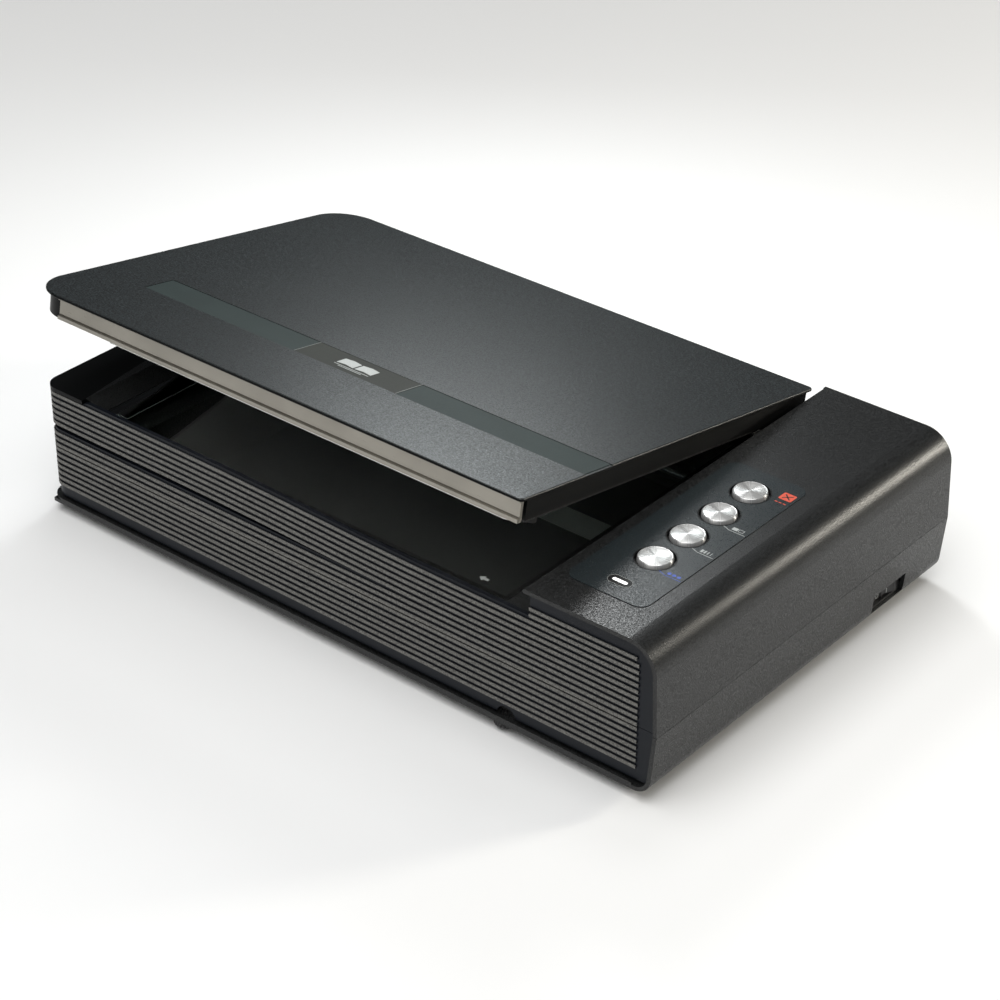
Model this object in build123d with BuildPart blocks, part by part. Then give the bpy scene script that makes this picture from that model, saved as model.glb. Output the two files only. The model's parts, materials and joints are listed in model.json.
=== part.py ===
# Flatbed book scanner: a long low case styled like a hardback book. The lid is hinged on the rear
# long side, the front and left walls are ribbed like page edges, and a raised control block with
# four round buttons closes the right end.
# Frame: X along the long side (+X to the control block), Y from front to back, Z up.
# The origin is on the resting surface, under the centre of the case. Lengths are millimetres.

import os
from math import cos, pi, radians, sin

from build123d import *

# ---------------------------------------------------------------- driving dimensions
LENGTH = 453.0  # over the lid's left overhang and the side wall's bulge at the seam
FRONT_Y = -136.4  # front plane of the case rim
BACK_Y = 138.1  # back wall
FOOT_H = 6.5  # case bottom above the table
SEAM_Z = 44.8  # joint between the lower and upper case
DECK_Z = 80.4  # platen frame and glass top
BORDER_Z = 85.2  # raised border at the left end
PANEL_Z = 97.7  # top of the control block
PANEL_X = 139.1  # left edge of the control block's top
WALL = 2.4
SEAM_GAP = 0.3

LEFT_X = -LENGTH / 2
RIGHT_X = LENGTH / 2
BULGE = 2.1  # the side wall at the seam stands this far outside its top
TOP_RADIUS = 18.0
BOTTOM_RADIUS = 11.0
FLOOR_RIGHT_X = 223.0

# ribbed fascia, front and left
CREST_X = LEFT_X + 3.0  # rib crests on the left side
CREST_Y = FRONT_Y + 1.6  # rib crests on the front
RIB_PROUD = 1.0
RIB_H = 1.9
RIB_PITCH = 3.95
FASCIA_T = 2.5
CORNER_R = 10.0  # plan radius of the front left corner, over the crests
GROUND_X = CREST_X + RIB_PROUD
GROUND_Y = CREST_Y + RIB_PROUD
INNER_X = GROUND_X + FASCIA_T
INNER_Y = GROUND_Y + FASCIA_T
CORNER_X = CREST_X + CORNER_R
RIBS_RIGHT_X = 212.7
FASCIA_BOTTOM_Z = 11.5
LEFT_RISE = 3.1  # the upper pages stand this much higher at the left, over a dark slot
WAVE_LEFT_X = -120.0
WAVE_RIGHT_X = 100.0
SLOT_Z = 57.0
SLOT_DEPTH = 1.8
BORDER_RIGHT_X = -190.5
BORDER_STEP_X = -186.6
BEZEL_RIGHT_X = -177.5
EDGE_Z = 80.9  # top of the front fascia beside the glass, right part

# platen
GLASS_X0 = -176.5
GLASS_X1 = 123.5
GLASS_Y0 = INNER_Y + 1.6
GLASS_Y1 = GLASS_Y0 + 219.0
GLASS_T = 3.0
GLASS_GAP = 0.3
STRIP_W = 8.7
STRIP_T = 0.6
LEDGE = 4.0
TAPE_T = 0.4
DECK_T = 5.8

# lid, drawn closed and then turned to its resting tilt
REST_TILT = 10.55
HINGE_Y = 118.1
HINGE_Z = 95.0
HINGE_XS = (-150.0, 95.0)
LID_X0 = LEFT_X
LID_X1 = 138.0
LID_Y0 = -142.1
LID_Y1 = 126.3
LID_TOP_Z = 102.6
LID_BOTTOM_Z = 88.2  # rim of the side walls and the front band
TRAY_BOTTOM_Z = 85.5
SKIN_T = 1.8
LID_RADIUS = 25.0
LID_RIGHT_RADIUS = 3.0
OVERHANG = 3.0
BAND_T = 2.0
STRIPE_Y = (-89.0, -66.0)
STRIPE_X0 = -186.0
BADGE_X = (-68.3, 7.0)
POST_T = 5.0
POST_W = 16.0
POST_BOTTOM_Z = 38.0
KNUCKLE_R = 4.2
PIN_R = 1.8
PIN_PROUD = 6.4

# controls
BUTTON_X = 173.9
BUTTON_YS = tuple(-70.6 + 28.2 * i for i in range(4))
BUTTON_R = 9.8
BUTTON_HOLE_R = 11.1
BUTTON_RISE = 2.0
LABEL_X = (146.8, 197.7)
LABEL_Y = (-112.6, 36.3)
LABEL_T = 0.4
LED_XY = (173.0, -99.3)
ROCKER_Y = (67.9, 99.8)
ROCKER_Z = (13.2, 25.2)
LOCK_XY = (124.0, -128.6)

# sockets in the back wall
MAIN_Z = 56.0  # underside of the main board
USB_X = (160.5, 172.5)
DC_X = 195.0
DC_OUTER_R = 4.9
DC_BORE_R = 3.2
SOCKET_Z = MAIN_Z + 7.8

# scan drive
ROD_Y = 92.0
ROD_Z = 32.0
ROD_R = 4.0
CARRIAGE_X = -180.0  # scan line at the home end
CARRIAGE_HALF = 28.0
CARRIAGE_Y = (-126.0, 86.0)
CARRIAGE_Z = (24.0, 72.0)
BELT_Y = 107.0
BELT_Z = 15.0
BELT_W = 6.0
BELT_T = 1.2
PULLEY_R = 7.0
DRIVE_X = 172.0
IDLER_X = -206.0
GEAR_MODULE = 1.0
GEAR_TEETH = 40
PINION_TEETH = 12

FLOOR_TOP_Z = FOOT_H + WALL
os.makedirs("parts", exist_ok=True)


def save_part(part, name):
    part.label = name
    export_step(part, f"parts/{name}.step")


def save(builder, name):
    save_part(builder.part, name)


def box_part(x, y, z):
    """Add a box given by its X, Y and Z spans to the part being built."""
    with Locations(((x[0] + x[1]) / 2, (y[0] + y[1]) / 2, (z[0] + z[1]) / 2)):
        Box(x[1] - x[0], y[1] - y[0], z[1] - z[0])


def cut_box(x, y, z):
    with Locations(((x[0] + x[1]) / 2, (y[0] + y[1]) / 2, (z[0] + z[1]) / 2)):
        Box(x[1] - x[0], y[1] - y[0], z[1] - z[0], mode=Mode.SUBTRACT)


def rod_z(x, y, z0, z1, radius, mode=Mode.ADD):
    """Cylinder along Z between two heights."""
    with Locations((x, y, (z0 + z1) / 2)):
        Cylinder(radius, z1 - z0, mode=mode)


def rod_x(x0, x1, y, z, radius, mode=Mode.ADD):
    """Cylinder along X between two places."""
    with Locations(((x0 + x1) / 2, y, z)):
        Cylinder(radius, x1 - x0, rotation=(0, 90, 0), mode=mode)


def xz_plane(y):
    """Plane seen from the front, at depth y; extruding from it goes towards the front."""
    return Plane.XZ.offset(-y)


def polygon(*points):
    """Closed face through the points, added to the sketch being built."""
    Polygon(*points, align=None)


def fillet_at(sketch, point, radius):
    fillet(sketch.vertices().sort_by_distance(Vector(*point))[0], radius)


def plan_sketch(inset, radius, x_right, y0, y1):
    """Plan rectangle of the case with both left corners rounded."""
    x0 = CREST_X + inset
    with BuildSketch() as sketch:
        polygon((x0, y0), (x_right, y0), (x_right, y1), (x0, y1))
        fillet_at(sketch, (x0, y0), radius)
        fillet_at(sketch, (x0, y1), radius)
    return sketch.sketch


def shell_outline(inset):
    """Case section above the seam, seen from the front, filled and inset from the outside."""
    top = PANEL_Z - inset
    with BuildSketch() as sketch:
        polygon(
            (CREST_X + inset, SEAM_Z),
            (RIGHT_X - inset, SEAM_Z),
            (RIGHT_X - BULGE - inset, top),
            (PANEL_X + inset, top),
            (PANEL_X + inset, DECK_Z),
            (BEZEL_RIGHT_X, DECK_Z),
            (BORDER_STEP_X, BORDER_Z - 1.2),
            (BORDER_RIGHT_X, BORDER_Z),
            (CREST_X + inset, BORDER_Z),
        )
        fillet_at(sketch, (RIGHT_X - BULGE - inset, top), TOP_RADIUS - inset)
    return sketch.sketch


def lower_outline(inset):
    """Case section below the seam, seen from the front, filled and inset from the outside."""
    with BuildSketch() as sketch:
        polygon(
            (CREST_X + inset, SEAM_Z),
            (RIGHT_X - inset, SEAM_Z),
            (FLOOR_RIGHT_X - inset, FOOT_H + inset),
            (CREST_X + inset, FOOT_H + inset),
        )
        fillet_at(sketch, (FLOOR_RIGHT_X - inset, FOOT_H + inset), BOTTOM_RADIUS - inset)
    return sketch.sketch


# ---------------------------------------------------------------- lower housing
BOSS_XYS = ((-212.0, 127.5), (-30.0, 127.5), (125.0, 127.5), (214.0, -118.0), (214.0, 120.0))
FEET_XYS = ((-196.0, -112.0), (196.0, -112.0), (-196.0, 112.0), (196.0, 112.0), (0.0, -112.0), (0.0, 112.0))
VENT_COUNT = 7

with BuildPart() as lower_housing:
    # right wall and floor in one bent section
    with BuildSketch(xz_plane(BACK_Y)):
        add(lower_outline(0))
        add(lower_outline(WALL), mode=Mode.SUBTRACT)
        with Locations((0, SEAM_Z)):
            Rectangle(2 * LENGTH, SEAM_GAP, mode=Mode.SUBTRACT)
        with Locations((CREST_X, SEAM_Z - 10)):
            Rectangle(2 * WALL + 0.6, 60, mode=Mode.SUBTRACT)
    extrude(amount=BACK_Y - FRONT_Y)
    # book cover lip: floor plate out to the front and left, with a thin upturned rim
    with BuildSketch(Plane.XY.offset(FOOT_H)):
        add(plan_sketch(-2.4, 12.4, 150.0, FRONT_Y, BACK_Y))
    extrude(amount=WALL)
    with BuildSketch(Plane.XY.offset(FLOOR_TOP_Z)):
        add(plan_sketch(-2.4, 12.4, 212.0, FRONT_Y, BACK_Y))
        add(plan_sketch(-1.2, 11.2, 230.0, FRONT_Y + 1.2, BACK_Y + 20), mode=Mode.SUBTRACT)
    extrude(amount=1.4)
    # back wall
    with BuildSketch(xz_plane(BACK_Y)):
        add(lower_outline(0))
        with Locations((0, SEAM_Z)):
            Rectangle(2 * LENGTH, SEAM_GAP, mode=Mode.SUBTRACT)
    extrude(amount=WALL)
    # low inner walls behind the fascia's open bottom edge
    box_part((CORNER_X + 1.0, 205.0), (INNER_Y + 0.2, INNER_Y + 2.2), (FLOOR_TOP_Z, 20.0))
    box_part((INNER_X + 0.2, INNER_X + 2.2), (INNER_Y + 8.0, BACK_Y - 4), (FLOOR_TOP_Z, 20.0))
    for x, y in BOSS_XYS:
        rod_z(x, y, FLOOR_TOP_Z - 0.2, SEAM_Z - 0.15, 3.8)
    for x, y in BOSS_XYS:
        rod_z(x, y, FOOT_H - 1, SEAM_Z + 1, 1.7, mode=Mode.SUBTRACT)
        rod_z(x, y, FOOT_H - 1, FOOT_H + 4, 2.9, mode=Mode.SUBTRACT)
    # feet seats, rocker opening, cooling slots, transport lock hole, rear socket openings
    for x, y in FEET_XYS:
        rod_z(x, y, FOOT_H - 1, FOOT_H + 0.8, 8.2, mode=Mode.SUBTRACT)
    cut_box((200, 240), ROCKER_Y, ROCKER_Z)
    for i in range(VENT_COUNT):
        cut_box((60 + 10 * i, 63 + 10 * i), (20.0, 80.0), (0, 12))
    rod_z(*LOCK_XY, FOOT_H - 1, 12, 3.4, mode=Mode.SUBTRACT)
save(lower_housing, "lower_housing")

# ---------------------------------------------------------------- upper housing


def boss_top(x):
    """Height of the skin that an upper screw boss stands on."""
    if x < BORDER_RIGHT_X:
        return BORDER_Z - 1
    return DECK_Z - 1 if x < PANEL_X else PANEL_Z - 5.5


WELL_X_HALF = 11.2
WELL_Y_HALF = 5.2
LIP_ROUND = 1.1

with BuildPart() as upper_housing:
    # control block: top plate with a rolled left edge, and side wall
    with BuildSketch(xz_plane(BACK_Y)) as block_section:
        add(shell_outline(0))
        add(shell_outline(WALL), mode=Mode.SUBTRACT)
        with Locations((0, SEAM_Z)):
            Rectangle(2 * LENGTH, SEAM_GAP, mode=Mode.SUBTRACT)
        with Locations((PANEL_X - 200, SEAM_Z)):
            Rectangle(400, 200, mode=Mode.SUBTRACT)
        with Locations((PANEL_X, PANEL_Z - WALL - 50)):
            Rectangle(12, 100, mode=Mode.SUBTRACT)
        fillet_at(block_section, (PANEL_X, PANEL_Z), LIP_ROUND)
        fillet_at(block_section, (PANEL_X, PANEL_Z - WALL), LIP_ROUND)
    extrude(amount=BACK_Y - FRONT_Y)
    # step wall between the deck and the block's top, set back under the top's lip
    box_part((PANEL_X + 3, PANEL_X + 5.4), (INNER_Y + 0.1, BACK_Y - 1), (DECK_Z - DECK_T, PANEL_Z - 1))
    # platen frame
    box_part((BEZEL_RIGHT_X - 3, PANEL_X + 5), (INNER_Y + 0.1, BACK_Y - 1), (DECK_Z - DECK_T, DECK_Z))
    # raised left border and its sloped bezel
    with BuildSketch(xz_plane(BACK_Y - 1)) as border:
        polygon(
            (CREST_X, BORDER_Z),
            (BORDER_RIGHT_X, BORDER_Z),
            (BORDER_STEP_X, BORDER_Z - 1.2),
            (BEZEL_RIGHT_X, DECK_Z),
            (BEZEL_RIGHT_X, DECK_Z - DECK_T),
            (BORDER_STEP_X, DECK_Z - DECK_T),
            (BORDER_RIGHT_X, BORDER_Z - WALL),
            (CREST_X, BORDER_Z - WALL),
        )
    extrude(amount=BACK_Y - 1 - INNER_Y - 0.1)
    with BuildSketch(xz_plane(INNER_Y + 1)):
        polygon(
            (CREST_X, BORDER_Z),
            (BORDER_RIGHT_X, BORDER_Z),
            (BORDER_RIGHT_X + 0.3, BORDER_Z - WALL),
            (CREST_X, BORDER_Z - WALL),
        )
    extrude(amount=INNER_Y + 1 - CREST_Y)
    # back wall
    with BuildSketch(xz_plane(BACK_Y)):
        add(shell_outline(0))
        with Locations((0, SEAM_Z)):
            Rectangle(2 * LENGTH, SEAM_GAP, mode=Mode.SUBTRACT)
    extrude(amount=WALL)
    # rounded left corners
    with BuildSketch():
        add(plan_sketch(0, CORNER_R, PANEL_X, CREST_Y, BACK_Y))
        with Locations((PANEL_X + 90, 0)):
            Rectangle(200, 400)
    extrude(amount=200, mode=Mode.INTERSECT)
    # screw bosses from the seam up to the deck, the panel and the border
    for x, y in BOSS_XYS:
        rod_z(x, y, SEAM_Z + 0.15, boss_top(x), 3.8)
    for x, y in BOSS_XYS:
        rod_z(x, y, SEAM_Z - 1, SEAM_Z + 20, 1.3, mode=Mode.SUBTRACT)
    # openings for the two rear sockets
    cut_box((USB_X[0] - 0.3, USB_X[1] + 0.3), (130, 140), (MAIN_Z + 2.1, MAIN_Z + 13.5))
    with Locations(Location((DC_X, BACK_Y, SOCKET_Z), (90, 0, 0))):
        Cylinder(DC_OUTER_R + 0.3, 20, mode=Mode.SUBTRACT)
    # glass pocket, scan window, hinge wells, buttons and lamp
    glass_pocket_x = (GLASS_X0 - GLASS_GAP, GLASS_X1 + GLASS_GAP)
    glass_pocket_y = (GLASS_Y0 - GLASS_GAP, GLASS_Y1 + GLASS_GAP)
    cut_box(glass_pocket_x, glass_pocket_y, (DECK_Z - GLASS_T - TAPE_T, 200))
    cut_box((GLASS_X0 + LEDGE, GLASS_X1 - LEDGE), (GLASS_Y0 + LEDGE, GLASS_Y1 - LEDGE), (60, 200))
    for x in HINGE_XS:
        cut_box(
            (x - WELL_X_HALF, x + WELL_X_HALF),
            (HINGE_Y - WELL_Y_HALF, HINGE_Y + WELL_Y_HALF),
            (60, 90),
        )
    for y in BUTTON_YS:
        rod_z(BUTTON_X, y, 90, 110, BUTTON_HOLE_R, mode=Mode.SUBTRACT)
    with BuildSketch(Plane.XY.offset(90)):
        with Locations(LED_XY):
            SlotOverall(12.6, 5.6)
    extrude(amount=20, mode=Mode.SUBTRACT)
save(upper_housing, "upper_housing")

# ---------------------------------------------------------------- ribbed fascias


def wall_plan(outer_inset, inner_inset):
    """Plan of a wall strip along the front and the left side, round the corner."""
    with BuildSketch() as sketch:
        add(plan_sketch(outer_inset, CORNER_R - outer_inset, 224.0, CREST_Y + outer_inset, 400.0))
        add(
            plan_sketch(inner_inset, CORNER_R - inner_inset, 400.0, CREST_Y + inner_inset, 500.0),
            mode=Mode.SUBTRACT,
        )
        with Locations((0, BACK_Y - WALL + 200)):
            Rectangle(600, 400.5, mode=Mode.SUBTRACT)
    return sketch.sketch


def wave_face(z_low, z_high, low_rise, high_rise, x_end):
    """Strip seen from the front whose edges run level, then ease down to the right."""
    with BuildLine() as outline:
        Polyline(
            (WAVE_LEFT_X, z_high + high_rise),
            (CORNER_X, z_high + high_rise),
            (CORNER_X, z_low + low_rise),
            (WAVE_LEFT_X, z_low + low_rise),
        )
        ease_line(z_low, low_rise)
        if x_end > WAVE_RIGHT_X:
            Polyline((WAVE_RIGHT_X, z_low), (x_end, z_low), (x_end, z_high), (WAVE_RIGHT_X, z_high))
        else:
            Line((WAVE_RIGHT_X, z_low), (WAVE_RIGHT_X, z_high))
        ease_line(z_high, high_rise)
    make_face(outline.edges())


def ease_line(z, rise):
    """Edge from the risen left level to the plain right level."""
    mid = (WAVE_LEFT_X + WAVE_RIGHT_X) / 2
    if rise == 0:
        Line((WAVE_LEFT_X, z), (WAVE_RIGHT_X, z))
    else:
        Bezier((WAVE_LEFT_X, z + rise), (mid, z + rise), (mid, z), (WAVE_RIGHT_X, z))


def rib_bottom(index, upper):
    """Height of a rib's lower face, counted from the seam."""
    centre = SEAM_Z + (1 if upper else -1) * (1.5 + RIB_PITCH * index)
    return centre - RIB_H / 2


LOWER_RIBS = 7
PAGE_RIBS = 9  # upper ribs below the glass edge
PANEL_RIBS = 11  # upper ribs under the control block
SLOT_RIB = 3  # the slot opens below this upper rib

with BuildPart() as front_fascia_lower:
    with BuildSketch(Plane.XY.offset(FASCIA_BOTTOM_Z)):
        add(wall_plan(RIB_PROUD, RIB_PROUD + FASCIA_T))
    extrude(amount=SEAM_Z - 0.15 - FASCIA_BOTTOM_Z)
    with BuildSketch(xz_plane(BACK_Y)):
        add(lower_outline(WALL + 0.15))
        with Locations((CREST_X, SEAM_Z - 20)):
            Rectangle(30, 80)
    extrude(amount=300, mode=Mode.INTERSECT)
    for i in range(LOWER_RIBS):
        box_part(
            (CORNER_X, RIBS_RIGHT_X),
            (CREST_Y, GROUND_Y + 0.2),
            (rib_bottom(i, False), rib_bottom(i, False) + RIB_H),
        )
        with BuildSketch(Plane.XY.offset(rib_bottom(i, False))):
            add(wall_plan(0, RIB_PROUD + 0.2))
            with Locations((CORNER_X + 300, 0)):
                Rectangle(600, 600, mode=Mode.SUBTRACT)
        extrude(amount=RIB_H)
    # arched notch over the transport lock
    with Locations(Location((LOCK_XY[0] + 3, CREST_Y, FASCIA_BOTTOM_Z - 1.5), (90, 0, 0))):
        Cylinder(6.5, 12, mode=Mode.SUBTRACT)
save(front_fascia_lower, "front_fascia_lower")

with BuildPart() as front_fascia_upper:
    with BuildSketch(Plane.XY.offset(SEAM_Z + 0.15)):
        add(wall_plan(RIB_PROUD, RIB_PROUD + FASCIA_T))
    extrude(amount=60)
    with BuildSketch(xz_plane(BACK_Y)) as fascia_outline:
        with BuildLine():
            mid_x = (WAVE_LEFT_X + WAVE_RIGHT_X) / 2
            Polyline(
                (WAVE_LEFT_X, EDGE_Z + LEFT_RISE),
                (BORDER_STEP_X, EDGE_Z + LEFT_RISE),
                (BORDER_RIGHT_X + 0.3, BORDER_Z - WALL),
                (CREST_X - 1, BORDER_Z - WALL),
                (CREST_X - 1, SEAM_Z + 0.15),
                (RIGHT_X - WALL - 0.15, SEAM_Z + 0.15),
                (RIGHT_X - WALL - 0.15 - BULGE, PANEL_Z - WALL - 0.15),
                (PANEL_X + 3, PANEL_Z - WALL - 0.15),
                (PANEL_X + 3, EDGE_Z),
                (WAVE_RIGHT_X, EDGE_Z),
            )
            Bezier(
                (WAVE_RIGHT_X, EDGE_Z),
                (mid_x, EDGE_Z),
                (mid_x, EDGE_Z + LEFT_RISE),
                (WAVE_LEFT_X, EDGE_Z + LEFT_RISE),
            )
        make_face()
        fascia_inset = WALL + 0.15
        fascia_corner = (RIGHT_X - fascia_inset - BULGE, PANEL_Z - fascia_inset)
        fillet_at(fascia_outline, fascia_corner, TOP_RADIUS - fascia_inset)
    extrude(amount=300, mode=Mode.INTERSECT)
    # dark slot between the risen pages and the level ones
    with BuildSketch(xz_plane(GROUND_Y + SLOT_DEPTH)):
        wave_face(SLOT_Z, SLOT_Z + 0.6, 0, 2.7, 0)
    extrude(amount=SLOT_DEPTH + 2, mode=Mode.SUBTRACT)
    with BuildSketch(Plane.XY.offset(SLOT_Z)):
        add(wall_plan(0, RIB_PROUD + SLOT_DEPTH))
        with Locations((CORNER_X + 300, 0)):
            Rectangle(600, 600, mode=Mode.SUBTRACT)
    extrude(amount=3.3, mode=Mode.SUBTRACT)
    for i in range(PANEL_RIBS):
        bottom = rib_bottom(i, True)
        rise = LEFT_RISE if i >= SLOT_RIB else 0
        if i < PAGE_RIBS:
            with BuildSketch(xz_plane(GROUND_Y + 0.2)):
                wave_face(bottom, bottom + RIB_H, rise, rise, RIBS_RIGHT_X)
            extrude(amount=RIB_PROUD + 0.2)
            with BuildSketch(Plane.XY.offset(bottom + rise)):
                add(wall_plan(0, RIB_PROUD + 0.2))
                with Locations((CORNER_X + 300, 0)):
                    Rectangle(600, 600, mode=Mode.SUBTRACT)
            extrude(amount=RIB_H)
        else:
            right = RIBS_RIGHT_X - 1.5 * (i - PAGE_RIBS)
            box_part((PANEL_X + 3, right), (CREST_Y, GROUND_Y + 0.2), (bottom, bottom + RIB_H))
save(front_fascia_upper, "front_fascia_upper")

# ---------------------------------------------------------------- platen
with BuildPart() as platen_glass:
    box_part((GLASS_X0, GLASS_X1), (GLASS_Y0, GLASS_Y1), (DECK_Z - GLASS_T, DECK_Z - 0.1))
save(platen_glass, "platen_glass")

with BuildPart() as glass_tape:
    box_part((GLASS_X0, GLASS_X1), (GLASS_Y0, GLASS_Y1), (DECK_Z - GLASS_T - TAPE_T, DECK_Z - GLASS_T))
    cut_box((GLASS_X0 + LEDGE, GLASS_X1 - LEDGE), (GLASS_Y0 + LEDGE, GLASS_Y1 - LEDGE), (60, 90))
save(glass_tape, "glass_tape")

with BuildPart() as calibration_strip:
    strip_x0 = GLASS_X0 + LEDGE + 0.3
    strip_z1 = DECK_Z - GLASS_T
    box_part((strip_x0, strip_x0 + STRIP_W), (GLASS_Y0 + 5, GLASS_Y1 - 5), (strip_z1 - STRIP_T, strip_z1))
save(calibration_strip, "calibration_strip")

# ---------------------------------------------------------------- lid (drawn closed)


def lid_plan(inset, radius, right_inset):
    x0, x1 = LID_X0 + inset, LID_X1 - right_inset
    y0, y1 = LID_Y0 + inset, LID_Y1 - inset
    with BuildSketch() as sketch:
        polygon((x0, y0), (x1, y0), (x1, y1), (x0, y1))
        fillet_at(sketch, (x0, y0), radius)
        fillet_at(sketch, (x0, y1), radius)
        fillet_at(sketch, (x1, y0), max(LID_RIGHT_RADIUS - right_inset, 0.6))
        fillet_at(sketch, (x1, y1), max(LID_RIGHT_RADIUS - right_inset, 0.6))
    return sketch.sketch


def at_rest(builder):
    """The built lid piece, turned from closed to the resting tilt."""
    return builder.part.rotate(Axis((0, HINGE_Y, HINGE_Z), (1, 0, 0)), -REST_TILT)


def save_lid(builder, name):
    save_part(at_rest(builder), name)


RIGHT_OVERHANG = 2.2
SKIN_TOP_R = 1.0
SKIN_LOW_R = 0.4
STRIPE_DEPTH = 0.6
STRIPE_X1 = LID_X1 - 1.6
SKIN_Z = LID_TOP_Z - SKIN_T
REAR_WALL_Z = 90.0
REAR_NOTCH = 22.0
BAND_X0 = -202.0
BAND_X1 = LID_X1 - RIGHT_OVERHANG
BAND_Y = LID_Y0 + OVERHANG

with BuildPart() as lid_cover:
    with BuildSketch(Plane.XY.offset(SKIN_Z)):
        add(lid_plan(0, LID_RADIUS, 0))
    extrude(amount=SKIN_T)
    top_edges = lid_cover.faces().sort_by(Axis.Z)[-1].edges()
    fillet(top_edges, SKIN_TOP_R)
    low_edges = lid_cover.faces().sort_by(Axis.Z)[0].edges()
    fillet(low_edges, SKIN_LOW_R)
    # side walls under the skin; the front one is the separate light band
    with BuildSketch(Plane.XY.offset(LID_BOTTOM_Z)):
        add(lid_plan(OVERHANG, LID_RADIUS - OVERHANG, RIGHT_OVERHANG))
        wall_inset = OVERHANG + BAND_T
        add(lid_plan(wall_inset, LID_RADIUS - wall_inset, RIGHT_OVERHANG + BAND_T), mode=Mode.SUBTRACT)
        with Locations(((BAND_X0 + BAND_X1) / 2, LID_Y0)):
            Rectangle(BAND_X1 - BAND_X0, 16, mode=Mode.SUBTRACT)
    extrude(amount=SKIN_Z - LID_BOTTOM_Z + 0.2)
    # shorter back wall with notches for the hinge posts
    cut_box((-300, 300), (HINGE_Y - 10, 200), (80, REAR_WALL_Z))
    for x in HINGE_XS:
        cut_box((x - REAR_NOTCH, x + REAR_NOTCH), (HINGE_Y, 200), (80, SKIN_Z))
    # recess for the inlay stripe
    cut_box((STRIPE_X0 - 0.1, 200), (STRIPE_Y[0] - 0.1, STRIPE_Y[1] + 0.1), (LID_TOP_Z - STRIPE_DEPTH, 120))
save_lid(lid_cover, "lid_cover")

with BuildPart() as lid_stripe:
    with BuildSketch(Plane.XY.offset(LID_TOP_Z - STRIPE_DEPTH)) as stripe_plan:
        polygon(
            (STRIPE_X0, STRIPE_Y[0]),
            (STRIPE_X1, STRIPE_Y[0]),
            (STRIPE_X1, STRIPE_Y[1]),
            (STRIPE_X0, STRIPE_Y[1]),
        )
        with Locations(((BADGE_X[0] + BADGE_X[1]) / 2, sum(STRIPE_Y) / 2)):
            Rectangle(BADGE_X[1] - BADGE_X[0] + 0.6, 40, mode=Mode.SUBTRACT)
    extrude(amount=0.35)
save_lid(lid_stripe, "lid_stripe")

with BuildPart() as lid_badge:
    box_part(BADGE_X, STRIPE_Y, (LID_TOP_Z - STRIPE_DEPTH, LID_TOP_Z - 0.15))
save_lid(lid_badge, "lid_badge")

with BuildPart() as lid_band:
    # light front band: thin top lip, flat band, thicker bottom flange
    with BuildSketch(Plane.YZ.offset(BAND_X0)):
        polygon(
            (BAND_Y - 1.6, SKIN_Z),
            (BAND_Y - 1.6, SKIN_Z - 0.9),
            (BAND_Y + 0.4, SKIN_Z - 1.1),
            (BAND_Y, SKIN_Z - 1.6),
            (BAND_Y, LID_BOTTOM_Z + 3.0),
            (BAND_Y + 0.6, LID_BOTTOM_Z + 2.7),
            (BAND_Y - 1.4, LID_BOTTOM_Z + 2.1),
            (BAND_Y - 1.4, LID_BOTTOM_Z),
            (BAND_Y + BAND_T, LID_BOTTOM_Z),
            (BAND_Y + BAND_T, SKIN_Z),
        )
    extrude(amount=BAND_X1 - BAND_X0)
save_lid(lid_band, "lid_front_band")

TRAY_X = (-186.0, LID_X1 - RIGHT_OVERHANG - BAND_T - 0.2)
TRAY_Y = (BAND_Y + 8.0, HINGE_Y - 14.0)
TRAY_T = 1.8
TRAY_RIB_T = 1.6
TRAY_RIB_PITCH = 60.0
MAT_INSET = 2.0
BUMPER_X = 128.0
BUMPER_YS = (-118.0, 96.0)
BUMPER_R = 3.0

with BuildPart() as lid_tray:
    box_part(TRAY_X, TRAY_Y, (TRAY_BOTTOM_Z, TRAY_BOTTOM_Z + TRAY_T))
    box_part((TRAY_X[0], TRAY_X[0] + TRAY_T), TRAY_Y, (TRAY_BOTTOM_Z, SKIN_Z))
    box_part(TRAY_X, (TRAY_Y[0], TRAY_Y[0] + TRAY_T), (TRAY_BOTTOM_Z, SKIN_Z))
    box_part(TRAY_X, (TRAY_Y[1] - TRAY_T, TRAY_Y[1]), (TRAY_BOTTOM_Z, SKIN_Z))
    for i in range(5):
        x = TRAY_X[0] + TRAY_RIB_PITCH * (i + 0.8)
        box_part((x, x + TRAY_RIB_T), TRAY_Y, (TRAY_BOTTOM_Z, SKIN_Z))
save_lid(lid_tray, "lid_tray")

with BuildPart() as platen_mat:
    mat_x = (GLASS_X0 + MAT_INSET, GLASS_X1 - MAT_INSET)
    mat_y = (GLASS_Y0 + MAT_INSET, GLASS_Y1 - MAT_INSET)
    box_part(mat_x, mat_y, (DECK_Z + 0.3, TRAY_BOTTOM_Z))
    fillet(platen_mat.edges().filter_by(Axis.Z), 4)
save_lid(platen_mat, "platen_mat")

with BuildPart() as lid_bumpers:
    for y in BUMPER_YS:
        rod_z(BUMPER_X, y, DECK_Z + 0.5, TRAY_BOTTOM_Z, BUMPER_R)
save_lid(lid_bumpers, "lid_bumpers")

EAR_X = (POST_W / 2 + 0.4, POST_W / 2 + 5.4)

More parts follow.
